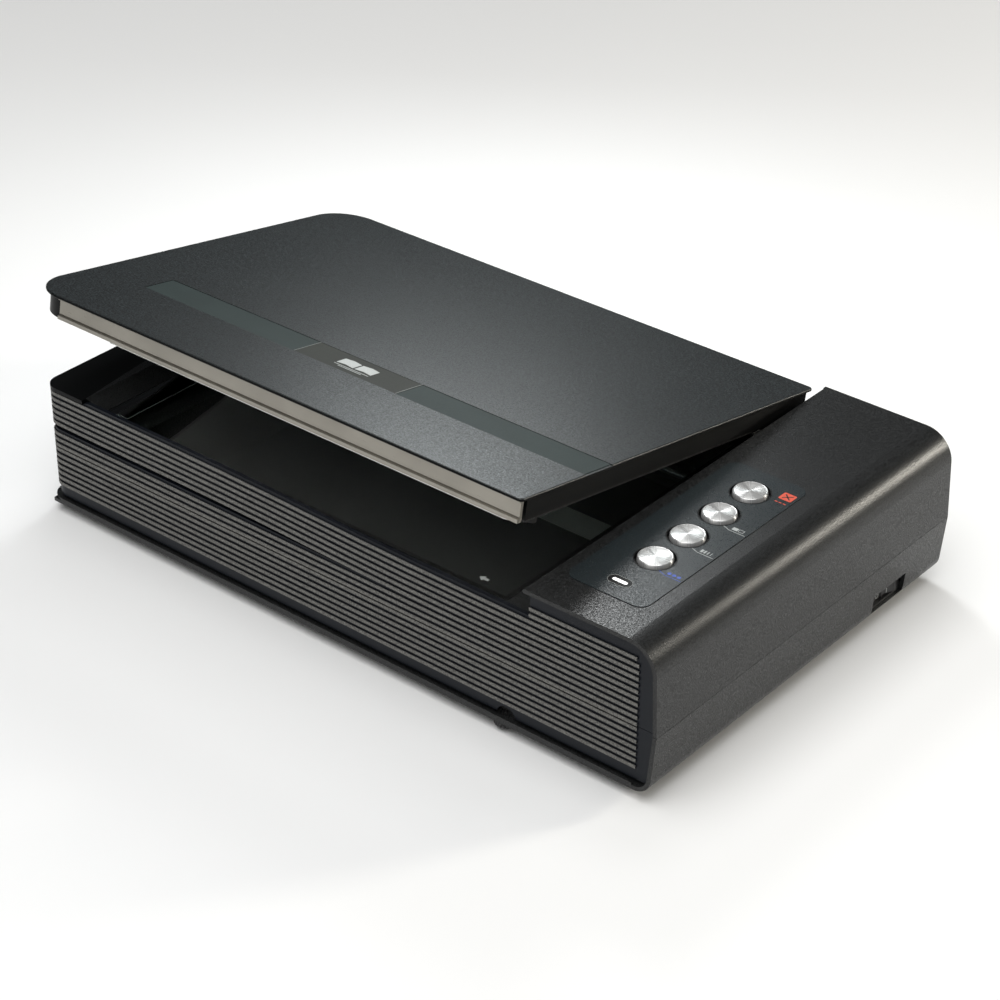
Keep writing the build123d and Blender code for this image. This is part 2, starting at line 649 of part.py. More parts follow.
with BuildPart() as lid_hinge_brackets:
    for x in HINGE_XS:
        box_part((x - 20, x + 20), (HINGE_Y - 13.8, HINGE_Y + 4), (SKIN_Z - 1.2, SKIN_Z))
        for side in (-1, 1):
            ear = sorted((x + side * EAR_X[0], x + side * EAR_X[1]))
            box_part(ear, (HINGE_Y - 5, HINGE_Y + 4.4), (HINGE_Z, SKIN_Z))
            rod_x(*ear, HINGE_Y, HINGE_Z, 5.0)
    for x in HINGE_XS:
        rod_x(x - 30, x + 30, HINGE_Y, HINGE_Z, PIN_R + 0.06, mode=Mode.SUBTRACT)
save_lid(lid_hinge_brackets, "lid_hinge_brackets")

# ---------------------------------------------------------------- lift hinges
with BuildPart() as hinge_posts:
    for x in HINGE_XS:
        post_x = (x - POST_W / 2, x + POST_W / 2)
        box_part(post_x, (HINGE_Y - POST_T / 2, HINGE_Y + POST_T / 2), (POST_BOTTOM_Z, HINGE_Z))
        rod_x(*post_x, HINGE_Y, HINGE_Z, KNUCKLE_R)
        rod_x(post_x[0] - PIN_PROUD, post_x[1] + PIN_PROUD, HINGE_Y, HINGE_Z, PIN_R)
save(hinge_posts, "hinge_posts")

with BuildPart() as hinge_wells:
    for x in HINGE_XS:
        box_part((x - 11, x + 11), (HINGE_Y - 5, HINGE_Y + 5), (34.0, DECK_Z - 0.2))
        box_part((x - 15, x + 15), (HINGE_Y - 7.5, HINGE_Y + 7.5), (DECK_Z - DECK_T - 2.2, DECK_Z - DECK_T))
        cut_box(
            (x - POST_W / 2 - 0.4, x + POST_W / 2 + 0.4),
            (HINGE_Y - POST_T / 2 - 0.35, HINGE_Y + POST_T / 2 + 0.35),
            (36.0, 100.0),
        )
save(hinge_wells, "hinge_wells")

# ---------------------------------------------------------------- controls
with BuildPart() as control_label:
    with BuildSketch(Plane.XY.offset(PANEL_Z)) as label_plan:
        with Locations((sum(LABEL_X) / 2, sum(LABEL_Y) / 2)):
            RectangleRounded(LABEL_X[1] - LABEL_X[0], LABEL_Y[1] - LABEL_Y[0], 7)
        with Locations(*[(BUTTON_X, y) for y in BUTTON_YS]):
            Circle(BUTTON_HOLE_R, mode=Mode.SUBTRACT)
        with Locations(LED_XY):
            SlotOverall(12.6, 5.6, mode=Mode.SUBTRACT)
    extrude(amount=LABEL_T)
save(control_label, "control_label")

BOARD_Z = 84.0
SWITCH_TOP_Z = BOARD_Z + 1.6 + 2.0
CAP_T = 3.2
CAP_BOTTOM_Z = PANEL_Z + BUTTON_RISE - CAP_T

for i, y in enumerate(BUTTON_YS):
    with BuildPart() as cap:
        rod_z(BUTTON_X, y, CAP_BOTTOM_Z, CAP_BOTTOM_Z + CAP_T, BUTTON_R)
        fillet(cap.edges().filter_by(GeomType.CIRCLE).group_by(Axis.Z)[-1], 0.7)
    save(cap, f"button_{i + 1}_cap")

    with BuildPart() as stem:
        rod_z(BUTTON_X, y, CAP_BOTTOM_Z - 1.6, CAP_BOTTOM_Z, BUTTON_R)
        rod_z(BUTTON_X, y, PANEL_Z - WALL - 1.9, PANEL_Z - WALL - 0.6, BUTTON_HOLE_R + 0.5)
        rod_z(BUTTON_X, y, SWITCH_TOP_Z + 0.1, CAP_BOTTOM_Z - 1.0, 3.5)
    save(stem, f"button_{i + 1}_plunger")

with BuildPart() as led_window:
    with BuildSketch(Plane.XY.offset(PANEL_Z - 4)):
        with Locations(LED_XY):
            SlotOverall(11.8, 4.8)
    extrude(amount=4.5)
    fillet(led_window.faces().sort_by(Axis.Z)[-1].edges(), 0.6)
    rod_z(*LED_XY, BOARD_Z + 3.3, PANEL_Z - 3.8, 1.8)
save(led_window, "led_window")

with BuildPart() as button_board:
    box_part((BUTTON_X - 15, BUTTON_X + 15), (LED_XY[1] - 8, BUTTON_YS[-1] + 17), (BOARD_Z, BOARD_Z + 1.6))
    for y in (LED_XY[1] - 4, BUTTON_YS[-1] + 12):
        for x in (BUTTON_X - 11, BUTTON_X + 11):
            rod_z(x, y, BOARD_Z - 1, BOARD_Z + 3, 1.6, mode=Mode.SUBTRACT)
save(button_board, "button_board")

with BuildPart() as board_posts:
    for y in (LED_XY[1] - 4, BUTTON_YS[-1] + 12):
        for x in (BUTTON_X - 11, BUTTON_X + 11):
            rod_z(x, y, BOARD_Z + 1.6, PANEL_Z - WALL, 3.2)
            rod_z(x, y, BOARD_Z - 2.2, BOARD_Z, 2.8)
            rod_z(x, y, BOARD_Z - 2.2, PANEL_Z - WALL, 1.5)
save(board_posts, "button_board_screws")

with BuildPart() as tact_switches:
    for y in BUTTON_YS:
        box_part((BUTTON_X - 3, BUTTON_X + 3), (y - 3, y + 3), (BOARD_Z + 1.6, SWITCH_TOP_Z - 1.6))
        rod_z(BUTTON_X, y, SWITCH_TOP_Z - 1.8, SWITCH_TOP_Z - 1.1, 1.7)
    led_chip_x = (LED_XY[0] - 1.6, LED_XY[0] + 1.6)
    led_chip_y = (LED_XY[1] - 1.4, LED_XY[1] + 1.4)
    box_part(led_chip_x, led_chip_y, (BOARD_Z + 1.6, BOARD_Z + 3.2))
save(tact_switches, "button_switches_and_led")


# ---------------------------------------------------------------- power switch
ROCKER_MID_Y = sum(ROCKER_Y) / 2
ROCKER_MID_Z = sum(ROCKER_Z) / 2
ROCKER_X = 219.0
ROCKER_HALF = 9.6
ROCKER_HORN = 1.8  # how far its two ends stand out from the pivot
ROCKER_ROOT = 6.0
SWITCH_X = (203.5, 221.2)
SWITCH_GAP = 0.3
TRUNNION_R = 0.9
ROCKER_TILT = 6.0  # each way from level; the front end stands pressed in, which is off

with BuildPart() as power_switch_body:
    box_part(
        (SWITCH_X[0], SWITCH_X[1]),
        (ROCKER_Y[0] + SWITCH_GAP, ROCKER_Y[1] - SWITCH_GAP),
        (ROCKER_Z[0] + 0.2, ROCKER_Z[1] - 0.2),
    )
    cut_box(
        (SWITCH_X[0] + 5.5, 230.0),
        (ROCKER_MID_Y - ROCKER_HALF - 1.0, ROCKER_MID_Y + ROCKER_HALF + 1.0),
        (ROCKER_Z[0] + 1.6, ROCKER_Z[1] - 1.6),
    )
    trunnion_hole = (ROCKER_Z[0] + 0.7, ROCKER_Z[1] - 0.7, TRUNNION_R + 0.06)
    rod_z(ROCKER_X, ROCKER_MID_Y, *trunnion_hole, mode=Mode.SUBTRACT)
    for dy in (-8, 0, 8):
        blade_y = (ROCKER_MID_Y + dy - 2, ROCKER_MID_Y + dy + 2)
        box_part((196.0, SWITCH_X[0] + 0.5), blade_y, (ROCKER_MID_Z - 0.4, ROCKER_MID_Z + 0.4))
save(power_switch_body, "power_switch_body")

with BuildPart() as power_rocker:
    with BuildSketch(Plane.XY.offset(ROCKER_Z[0] + 2.0)) as rocker_plan:
        with BuildLine():
            Polyline(
                (ROCKER_X - ROCKER_ROOT, ROCKER_MID_Y - 3.0),
                (ROCKER_X - 0.6, ROCKER_MID_Y - ROCKER_HALF),
                (ROCKER_X + ROCKER_HORN, ROCKER_MID_Y - ROCKER_HALF),
            )
            ThreePointArc(
                (ROCKER_X + ROCKER_HORN, ROCKER_MID_Y - ROCKER_HALF),
                (ROCKER_X + 0.2, ROCKER_MID_Y),
                (ROCKER_X + ROCKER_HORN, ROCKER_MID_Y + ROCKER_HALF),
            )
            Polyline(
                (ROCKER_X + ROCKER_HORN, ROCKER_MID_Y + ROCKER_HALF),
                (ROCKER_X - 0.6, ROCKER_MID_Y + ROCKER_HALF),
                (ROCKER_X - ROCKER_ROOT, ROCKER_MID_Y + 3.0),
                (ROCKER_X - ROCKER_ROOT, ROCKER_MID_Y - 3.0),
            )
        make_face()
    extrude(amount=ROCKER_Z[1] - ROCKER_Z[0] - 4.0)
    rod_z(ROCKER_X, ROCKER_MID_Y, ROCKER_Z[0] + 1.0, ROCKER_Z[1] - 1.0, TRUNNION_R)
off_rocker = power_rocker.part.rotate(Axis((ROCKER_X, ROCKER_MID_Y, 0), (0, 0, 1)), -ROCKER_TILT)
save_part(off_rocker, "power_rocker")

# ---------------------------------------------------------------- feet and fasteners
with BuildPart() as rubber_feet:
    for x, y in FEET_XYS:
        rod_z(x, y, 0, FOOT_H + 0.8, 8.0)
    fillet(rubber_feet.edges().filter_by(GeomType.CIRCLE).group_by(Axis.Z)[0], 1.2)
save(rubber_feet, "rubber_feet")

with BuildPart() as case_screws:
    for x, y in BOSS_XYS:
        rod_z(x, y, FOOT_H + 1.4, FOOT_H + 3.9, 2.8)
        rod_z(x, y, FOOT_H + 3.9, SEAM_Z + 12, 1.3)
    for x, y in BOSS_XYS:
        cut_box((x - 1.9, x + 1.9), (y - 0.4, y + 0.4), (0, FOOT_H + 2.6))
        cut_box((x - 0.4, x + 0.4), (y - 1.9, y + 1.9), (0, FOOT_H + 2.6))
save(case_screws, "case_screws")

# ---------------------------------------------------------------- rear sockets and main board
STANDOFF_XYS = ((156.0, 26.0), (204.0, 26.0), (204.0, 124.0), (155.0, 126.0))

with BuildPart() as main_board:
    box_part((151.0, 208.0), (22.0, 130.0), (MAIN_Z, MAIN_Z + 1.6))
    for x, y in STANDOFF_XYS:
        rod_z(x, y, MAIN_Z - 1, MAIN_Z + 3, 1.7, mode=Mode.SUBTRACT)
save(main_board, "main_board")

with BuildPart() as board_standoffs:
    for x, y in STANDOFF_XYS:
        rod_z(x, y, FLOOR_TOP_Z, MAIN_Z, 3.2)
        rod_z(x, y, MAIN_Z, MAIN_Z + 1.6, 1.6)
        rod_z(x, y, MAIN_Z + 1.6, MAIN_Z + 3.4, 2.8)
save(board_standoffs, "main_board_standoffs")

with BuildPart() as board_chips:
    top = MAIN_Z + 1.6
    box_part((172.0, 186.0), (44.0, 58.0), (top, top + 1.6))
    box_part((164.0, 172.0), (66.0, 78.0), (top, top + 1.4))
    box_part((178.0, 188.0), (84.0, 90.0), (top, top + 1.4))
    for x, y in ((166.0, 34.0), (176.0, 34.0)):
        rod_z(x, y, top, top + 9, 3.2)
    box_part((188.0, 192.0), (26.0, 50.0), (top, top + 5.0))
save(board_chips, "main_board_chips")

with BuildPart() as usb_socket:
    box_part(USB_X, (BACK_Y - 16.3, BACK_Y - 0.6), (MAIN_Z + 2.4, MAIN_Z + 13.2))
    cut_box(
        (USB_X[0] + 1.7, USB_X[1] - 1.7),
        (BACK_Y - 10.8, BACK_Y + 3.2),
        (MAIN_Z + 3.8, MAIN_Z + 11.8),
    )
    box_part((USB_X[0] + 3.5, USB_X[1] - 3.5), (BACK_Y - 11.8, BACK_Y - 2.3), (MAIN_Z + 6.2, MAIN_Z + 9.4))
    for x in (USB_X[0] + 2, USB_X[1] - 2):
        rod_z(x, BACK_Y - 10.0, MAIN_Z + 1.6, MAIN_Z + 2.6, 0.8)
save(usb_socket, "usb_socket")

with BuildPart() as dc_inlet:
    box_part((DC_X - 5.5, DC_X + 5.5), (BACK_Y - 15.8, BACK_Y - 2.6), (MAIN_Z + 1.6, MAIN_Z + 13.4))
    with Locations(Location((DC_X, BACK_Y - 5.8, SOCKET_Z), (90, 0, 0))):
        Cylinder(DC_OUTER_R, 10.0)
    with Locations(Location((DC_X, BACK_Y - 2.8, SOCKET_Z), (90, 0, 0))):
        Cylinder(DC_BORE_R, 20.0, mode=Mode.SUBTRACT)
    with Locations(Location((DC_X, BACK_Y - 9.3, SOCKET_Z), (90, 0, 0))):
        Cylinder(1.0, 13.0)
save(dc_inlet, "dc_inlet")

# ---------------------------------------------------------------- scan drive, fixed parts
ROD_X0 = -216.0
ROD_X1 = 153.0

with BuildPart() as guide_rod:
    rod_x(ROD_X0, ROD_X1, ROD_Y, ROD_Z, ROD_R)
    chamfer(guide_rod.edges().filter_by(GeomType.CIRCLE), 0.6)
save(guide_rod, "guide_rod")

with BuildPart() as rod_clips:
    for x in (ROD_X0 + 0.5, ROD_X1 - 6.5):
        box_part((x, x + 6), (ROD_Y - 5.5, ROD_Y + 5.5), (FLOOR_TOP_Z, ROD_Z + 6))
        rod_x(x - 1, x + 7, ROD_Y, ROD_Z, ROD_R, mode=Mode.SUBTRACT)
save(rod_clips, "rod_clips")

RAIL_Y = (-123.0, -115.0)

with BuildPart() as slide_rail:
    box_part((-215.0, 150.0), RAIL_Y, (20.0, 21.6))
    for x in (-214.0, -92.0, 30.0, 147.0):
        box_part((x - 1, x + 2), RAIL_Y, (FLOOR_TOP_Z, 20.2))
save(slide_rail, "slide_rail")

GEAR_R = GEAR_MODULE * GEAR_TEETH / 2
PINION_R = GEAR_MODULE * PINION_TEETH / 2
MOTOR_Y = BELT_Y - GEAR_R - PINION_R - 0.1
GEAR_Z = (22.5, 27.5)
PLATE_Z = (29.0, 30.6)
STUD_R = 1.5


def toothed_wheel(teeth, height, bore, turn):
    """Spur wheel about the Z axis at the origin, with straight-sided teeth and backlash."""
    pitch_r = GEAR_MODULE * teeth / 2
    root_r = pitch_r - 1.15 * GEAR_MODULE
    tip_r = pitch_r + 0.75 * GEAR_MODULE
    tooth = pi * GEAR_MODULE
    with BuildPart() as wheel:
        with BuildSketch():
            Circle(root_r)
            with PolarLocations(0, teeth, start_angle=turn):
                Polygon(
                    (root_r - 0.4, -0.30 * tooth),
                    (pitch_r, -0.19 * tooth),
                    (tip_r, -0.09 * tooth),
                    (tip_r, 0.09 * tooth),
                    (pitch_r, 0.19 * tooth),
                    (root_r - 0.4, 0.30 * tooth),
                    align=None,
                )
            Circle(bore, mode=Mode.SUBTRACT)
        extrude(amount=height)
    return wheel.part


with BuildPart() as motor_bracket:
    box_part((DRIVE_X - 16, DRIVE_X + 16), (MOTOR_Y - 20, BELT_Y + 10), PLATE_Z)
    for x in (DRIVE_X - 12, DRIVE_X + 12):
        rod_z(x, MOTOR_Y - 14, FLOOR_TOP_Z, PLATE_Z[0], 3.4)
    rod_z(DRIVE_X + 25.5, BELT_Y, FLOOR_TOP_Z, PLATE_Z[0], 3.4)
    box_part((DRIVE_X + 15, DRIVE_X + 29), (BELT_Y - 4, BELT_Y + 4), PLATE_Z)
    rod_z(DRIVE_X, BELT_Y, FLOOR_TOP_Z, PLATE_Z[0], STUD_R)
    rod_z(DRIVE_X, MOTOR_Y, PLATE_Z[0] - 1, PLATE_Z[1] + 1, 5.5, mode=Mode.SUBTRACT)
save(motor_bracket, "motor_bracket")

with BuildPart() as stepper_motor:
    rod_z(DRIVE_X, MOTOR_Y, PLATE_Z[1], PLATE_Z[1] + 19, 17.5)
    fillet(stepper_motor.edges().filter_by(GeomType.CIRCLE).group_by(Axis.Z)[-1], 1.5)
    rod_z(DRIVE_X, MOTOR_Y, PLATE_Z[0] - 0.4, PLATE_Z[1], 5.2)
    box_part((DRIVE_X - 8, DRIVE_X + 8), (MOTOR_Y - 22, MOTOR_Y - 15), (PLATE_Z[1] + 3, PLATE_Z[1] + 13))
    rod_z(DRIVE_X, MOTOR_Y, GEAR_Z[0] - 0.5, PLATE_Z[0], 1.0)
save(stepper_motor, "stepper_motor")

pinion = Pos(DRIVE_X, MOTOR_Y, GEAR_Z[0]) * toothed_wheel(PINION_TEETH, 5.0, 1.05, 90.0)
save_part(pinion, "motor_pinion")

with BuildPart() as drive_gear:
    half_tooth = 180.0 / GEAR_TEETH
    add(Pos(DRIVE_X, BELT_Y, GEAR_Z[0]) * toothed_wheel(GEAR_TEETH, 5.0, STUD_R + 0.05, -90.0 + half_tooth))
    rod_z(DRIVE_X, BELT_Y, BELT_Z - 0.8, GEAR_Z[0], PULLEY_R - 0.3)
    rod_z(DRIVE_X, BELT_Y, BELT_Z - 1.8, BELT_Z - 0.6, PULLEY_R + 1.6)
    rod_z(DRIVE_X, BELT_Y, 0, 60, STUD_R + 0.05, mode=Mode.SUBTRACT)
save(drive_gear, "drive_gear")

BRACKET_X0 = IDLER_X - 11.0
BRACKET_Y = (BELT_Y - 8.0, BELT_Y + 8.0)
BRACKET_TOP_Z = BELT_Z + BELT_W + 2.4

with BuildPart() as idler_bracket:
    box_part((BRACKET_X0, IDLER_X + 22), BRACKET_Y, (FLOOR_TOP_Z, FLOOR_TOP_Z + 1.6))
    box_part((BRACKET_X0, IDLER_X + 10), BRACKET_Y, (BRACKET_TOP_Z, BRACKET_TOP_Z + 1.6))
    box_part((BRACKET_X0, BRACKET_X0 + 1.6), BRACKET_Y, (FLOOR_TOP_Z, BRACKET_TOP_Z + 1.6))
    rod_z(IDLER_X, BELT_Y, FLOOR_TOP_Z, BRACKET_TOP_Z + 1.6, STUD_R)
save(idler_bracket, "idler_bracket")

with BuildPart() as idler_pulley:
    rod_z(IDLER_X, BELT_Y, BELT_Z - 0.8, BELT_Z + BELT_W + 0.8, PULLEY_R - 0.3)
    rod_z(IDLER_X, BELT_Y, BELT_Z - 1.8, BELT_Z - 0.6, PULLEY_R + 1.6)
    rod_z(IDLER_X, BELT_Y, BELT_Z + BELT_W + 0.6, BELT_Z + BELT_W + 1.8, PULLEY_R + 1.6)
    rod_z(IDLER_X, BELT_Y, 0, 60, STUD_R + 0.05, mode=Mode.SUBTRACT)
save(idler_pulley, "idler_pulley")

with BuildPart() as drive_belt:
    with BuildSketch(Plane.XY.offset(BELT_Z)):
        with Locations(((IDLER_X + DRIVE_X) / 2, BELT_Y)):
            SlotCenterToCenter(DRIVE_X - IDLER_X, 2 * (PULLEY_R + BELT_T))
            SlotCenterToCenter(DRIVE_X - IDLER_X, 2 * PULLEY_R, mode=Mode.SUBTRACT)
    extrude(amount=BELT_W)
save(drive_belt, "drive_belt")

SPRING_X = (IDLER_X + 22.4, IDLER_X + 36.0)

with BuildPart() as tension_spring:
    spring_turns = 6
    spring_pitch = (SPRING_X[1] - SPRING_X[0] - 1.0) / spring_turns
    for i in range(spring_turns + 1):
        x = SPRING_X[0] + 0.5 + spring_pitch * i
        with Locations(Location((x, BELT_Y, FLOOR_TOP_Z + 3.2), (0, 90, 0))):
            Torus(2.6, 0.45)
    rod_x(*SPRING_X, BELT_Y, FLOOR_TOP_Z + 0.6, 0.45)
save(tension_spring, "tension_spring")

# ---------------------------------------------------------------- scan carriage
FRAME_X = (CARRIAGE_X - CARRIAGE_HALF, CARRIAGE_X + CARRIAGE_HALF)
FRAME_T = 2.0
SLIT_HALF = 7.0
LAMP_Y = (CARRIAGE_Y[0] + CARRIAGE_Y[1]) / 2
LAMP_Z = 64.5
LAMP_R = 1.6
LAMP_LENGTH = 200.0

with BuildPart() as carriage_frame:
    box_part(FRAME_X, CARRIAGE_Y, CARRIAGE_Z)
    cut_box(
        (FRAME_X[0] + FRAME_T, FRAME_X[1] - FRAME_T),
        (CARRIAGE_Y[0] + FRAME_T, CARRIAGE_Y[1] - FRAME_T),
        (CARRIAGE_Z[0] + FRAME_T, CARRIAGE_Z[1] - FRAME_T),
    )
    cut_box(
        (CARRIAGE_X - SLIT_HALF, CARRIAGE_X + SLIT_HALF),
        (CARRIAGE_Y[0] + 6, CARRIAGE_Y[1] - 6),
        (CARRIAGE_Z[1] - 4, 90),
    )
    # bush housing over the guide rod
    rod_x(CARRIAGE_X - 24, CARRIAGE_X + 24, ROD_Y, ROD_Z, 8.0)
    box_part((CARRIAGE_X - 24, CARRIAGE_X + 24), (CARRIAGE_Y[1] - 1, ROD_Y), (ROD_Z - 4, ROD_Z + 6))
    rod_x(CARRIAGE_X - 30, CARRIAGE_X + 30, ROD_Y, ROD_Z, 6.0, mode=Mode.SUBTRACT)
    # lamp holders under the slit
    for y in (CARRIAGE_Y[0] + FRAME_T, CARRIAGE_Y[1] - FRAME_T - 6):
        box_part((CARRIAGE_X - 14, CARRIAGE_X - 7.2), (y, y + 6), (61.0, CARRIAGE_Z[1] - FRAME_T))
    with Locations(Location((CARRIAGE_X - 10.5, LAMP_Y, LAMP_Z), (90, 0, 0))):
        Cylinder(LAMP_R, LAMP_LENGTH, mode=Mode.SUBTRACT)
    # arm down to the belt clip
    box_part((CARRIAGE_X - 6, CARRIAGE_X + 6), (ROD_Y + 1, ROD_Y + 4), (22.6, 28.0))
save(carriage_frame, "carriage_frame")

with BuildPart() as rod_bushes:
    for x in (CARRIAGE_X - 23.5, CARRIAGE_X + 15.5):
        rod_x(x, x + 8, ROD_Y, ROD_Z, 6.0)
    rod_x(CARRIAGE_X - 40, CARRIAGE_X + 40, ROD_Y, ROD_Z, ROD_R + 0.06, mode=Mode.SUBTRACT)
save(rod_bushes, "rod_bushes")

with BuildPart() as glide_pads:
    for x in (CARRIAGE_X - 18, CARRIAGE_X + 18):
        box_part((x - 4, x + 4), (RAIL_Y[0] + 1, RAIL_Y[1] - 1), (21.9, CARRIAGE_Z[0]))
save(glide_pads, "glide_pads")

with BuildPart() as belt_clip:
    strand = BELT_Y - PULLEY_R - BELT_T / 2
    box_part((CARRIAGE_X - 6, CARRIAGE_X + 6), (strand - 3.6, strand + 2.4), (BELT_Z - 2.0, 22.6))
    cut_box((CARRIAGE_X - 10, CARRIAGE_X + 10), (strand - 0.95, strand + 0.95), (BELT_Z - 0.35, 22.61))
    box_part((CARRIAGE_X - 6, CARRIAGE_X + 6), (ROD_Y + 1, strand - 1.2), (21.8, 22.6))
save(belt_clip, "belt_clip")

with BuildPart() as lamp_tube:
    with Locations(Location((CARRIAGE_X - 10.5, LAMP_Y, LAMP_Z), (90, 0, 0))):
        Cylinder(LAMP_R, LAMP_LENGTH)
save(lamp_tube, "lamp_tube")

with BuildPart() as mirrors:
    mirror_places = (
        (CARRIAGE_X + 4, 33.0, 45.0),
        (CARRIAGE_X - 20, 44.0, 60.0),
        (CARRIAGE_X + 21, 48.0, -60.0),
    )
    for x, z, tilt in mirror_places:
        with Locations(Location((x, (CARRIAGE_Y[0] + CARRIAGE_Y[1]) / 2, z), (0, tilt, 0))):
            Box(11.0, CARRIAGE_Y[1] - CARRIAGE_Y[0] - 2 * FRAME_T - 0.02, 1.8)
save(mirrors, "mirrors")

with BuildPart() as lens_block:
    lens_block_z = (CARRIAGE_Z[0] + FRAME_T, CARRIAGE_Z[0] + 6)
    box_part((CARRIAGE_X - 22, CARRIAGE_X - 10), (-29.0, -11.0), lens_block_z)
    rod_x(CARRIAGE_X - 23, CARRIAGE_X - 8, -20.0, CARRIAGE_Z[0] + 9, 5.0)
save(lens_block, "lens_barrel")

with BuildPart() as sensor_board:
    box_part((FRAME_X[0] - 2.2, FRAME_X[0]), (-60.0, 20.0), (CARRIAGE_Z[0] + 2, CARRIAGE_Z[0] + 26))
save(sensor_board, "sensor_board")

with BuildPart() as flat_cable:
    box_part((-150.0, 150.6), (30.0, 50.0), (FLOOR_TOP_Z + 0.3, FLOOR_TOP_Z + 0.6))
    box_part((150.0, 150.6), (30.0, 50.0), (FLOOR_TOP_Z + 0.3, MAIN_Z + 1.4))
save(flat_cable, "flat_cable")

# ---------------------------------------------------------------- transport lock
with BuildPart() as transport_lock:
    rod_z(*LOCK_XY, FOOT_H - 3.2, FOOT_H - 0.3, 7.6)
    rod_z(*LOCK_XY, FOOT_H - 0.4, FLOOR_TOP_Z + 2.0, 3.1)
    for i in range(24):
        angle = radians(15.0 * i)
        x = LOCK_XY[0] + 7.7 * cos(angle)
        y = LOCK_XY[1] + 7.7 * sin(angle)
        rod_z(x, y, FOOT_H - 4, FOOT_H, 0.45, mode=Mode.SUBTRACT)
    cut_box((LOCK_XY[0] - 6, LOCK_XY[0] + 6), (LOCK_XY[1] - 0.8, LOCK_XY[1] + 0.8), (0, FOOT_H - 2.2))
save(transport_lock, "transport_lock")
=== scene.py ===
"""Looks of the flatbed book scanner: studio, camera, materials and small printed details."""

import json
from math import cos, pi, radians, sin

import bmesh
import bpy
from mathutils import Matrix, Vector


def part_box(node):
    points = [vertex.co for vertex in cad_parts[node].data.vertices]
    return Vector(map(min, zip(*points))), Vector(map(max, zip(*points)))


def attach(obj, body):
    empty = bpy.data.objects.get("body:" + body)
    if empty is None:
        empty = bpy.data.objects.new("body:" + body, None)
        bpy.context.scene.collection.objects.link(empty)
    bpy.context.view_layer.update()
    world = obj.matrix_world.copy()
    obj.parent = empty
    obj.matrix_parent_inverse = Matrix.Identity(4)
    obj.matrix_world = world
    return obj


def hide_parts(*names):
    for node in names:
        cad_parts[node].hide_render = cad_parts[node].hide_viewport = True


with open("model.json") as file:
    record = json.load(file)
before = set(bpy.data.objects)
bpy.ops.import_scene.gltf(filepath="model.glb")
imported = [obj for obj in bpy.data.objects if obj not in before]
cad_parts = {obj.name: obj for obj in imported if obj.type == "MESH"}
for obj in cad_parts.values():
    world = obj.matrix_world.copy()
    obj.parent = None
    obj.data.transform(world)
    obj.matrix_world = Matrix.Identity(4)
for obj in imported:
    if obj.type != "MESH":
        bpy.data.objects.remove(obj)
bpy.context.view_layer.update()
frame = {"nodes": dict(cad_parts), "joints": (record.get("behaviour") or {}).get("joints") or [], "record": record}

MM = 0.001
GLOSS_SWING = 0.15  # how much the roughness of a grained skin varies from speck to speck
scene = bpy.context.scene
nodes = frame["nodes"]
joints = {joint["name"]: joint for joint in frame["joints"]}

# places on the CAD part that its boxes don't give, in millimetres unless the name says otherwise
RIB_CORNER = (-0.2135, -0.1248)  # metres, centre of the ribbed corner
RIB_CREST_R = 10.0 * MM
WELL_R = (11.1, 11.75)
PLATEN_FRAME = ((-0.23, 0.1385), (-0.15, 0.1360), (0.0790, 0.0860))  # metres, sunken frame and low borders
LID_FILM_Z = 102.35  # top of the stripe on the closed lid
LID_FILM_X = (-186.0, 136.4)
LID_TILT = radians(-joints["lid_hinge"]["range_deg"][0])  # how far the resting lid stands open
LID_UP = Vector((0.0, sin(LID_TILT), cos(LID_TILT)))
STRIPE_Y = (-89.0, -66.0)
BADGE_X = (-68.3, 7.0)
ROCKER_FACE_X = 0.2  # how far the middle of the rocker's face stands off its pivot
ROCKER_HOLLOW_R = 29.6
ARROW_AT = (101.3, -121.6, 80.4)

CAMERA_PLACE = (0.85237, -1.01881, 0.85202)  # metres
CAMERA_TURN = (-39.5378, 31.7304, 0.3913)  # azimuth, pitch and roll in degrees
LENS_MM = 96.716
AIM_AT = (0, 0, 0.06)  # metres, the middle of the scanner
# name, azimuth, elevation, distance, size, watts, colour
SOFTBOXES = (
    ("overhead", 166, 70, 2.2, (2.4, 2.4), 54.0, (1.0, 1.0, 0.99)),
    ("edge_strip", 38, 17, 2.0, (0.30, 0.46), 18.0, (1.0, 0.95, 0.84)),
    ("front_fill", 175, 25, 2.4, (1.8, 0.8), 8.0, (1.0, 0.99, 0.97)),
)
# name, place, facing, size, watts, colour; the two cards give the lid and the panel their bright front
CARDS = (
    ("backdrop_wash", (-0.8, 1.3, 3.2), (0.0, 0.10, -1.0), (1.2, 1.2), 14.0, (1.0, 1.0, 1.0)),
    ("lid_card", (-0.26, 0.36, 0.45), (0.50, -0.70, -0.50), (0.20, 0.24), 0.98, (0.93, 0.99, 1.0)),
    ("panel_card", (-0.21, 0.30, 0.545), (0.50, -0.60, -0.60), (0.14, 0.12), 0.75, (1.0, 1.0, 1.0)),
)
AMBIENT = 0.06
FLOOR_SIZE = 14  # metres


# ---------------------------------------------------------------- studio
def add_camera():
    """Camera at the front right, looking down on the lid."""
    data = bpy.data.cameras.new("camera")
    data.lens = LENS_MM
    data.sensor_width = 36.0
    data.clip_start = 0.05
    data.clip_end = 20.0
    camera = bpy.data.objects.new("camera", data)
    scene.collection.objects.link(camera)
    azimuth, pitch, roll = (radians(angle) for angle in CAMERA_TURN)
    forward = Vector((sin(azimuth) * cos(pitch), cos(azimuth) * cos(pitch), -sin(pitch)))
    camera.rotation_mode = "QUATERNION"
    level = forward.to_track_quat("-Z", "Y")
    camera.rotation_quaternion = level @ Matrix.Rotation(roll, 3, "Z").to_quaternion()
    camera.location = CAMERA_PLACE
    scene.camera = camera


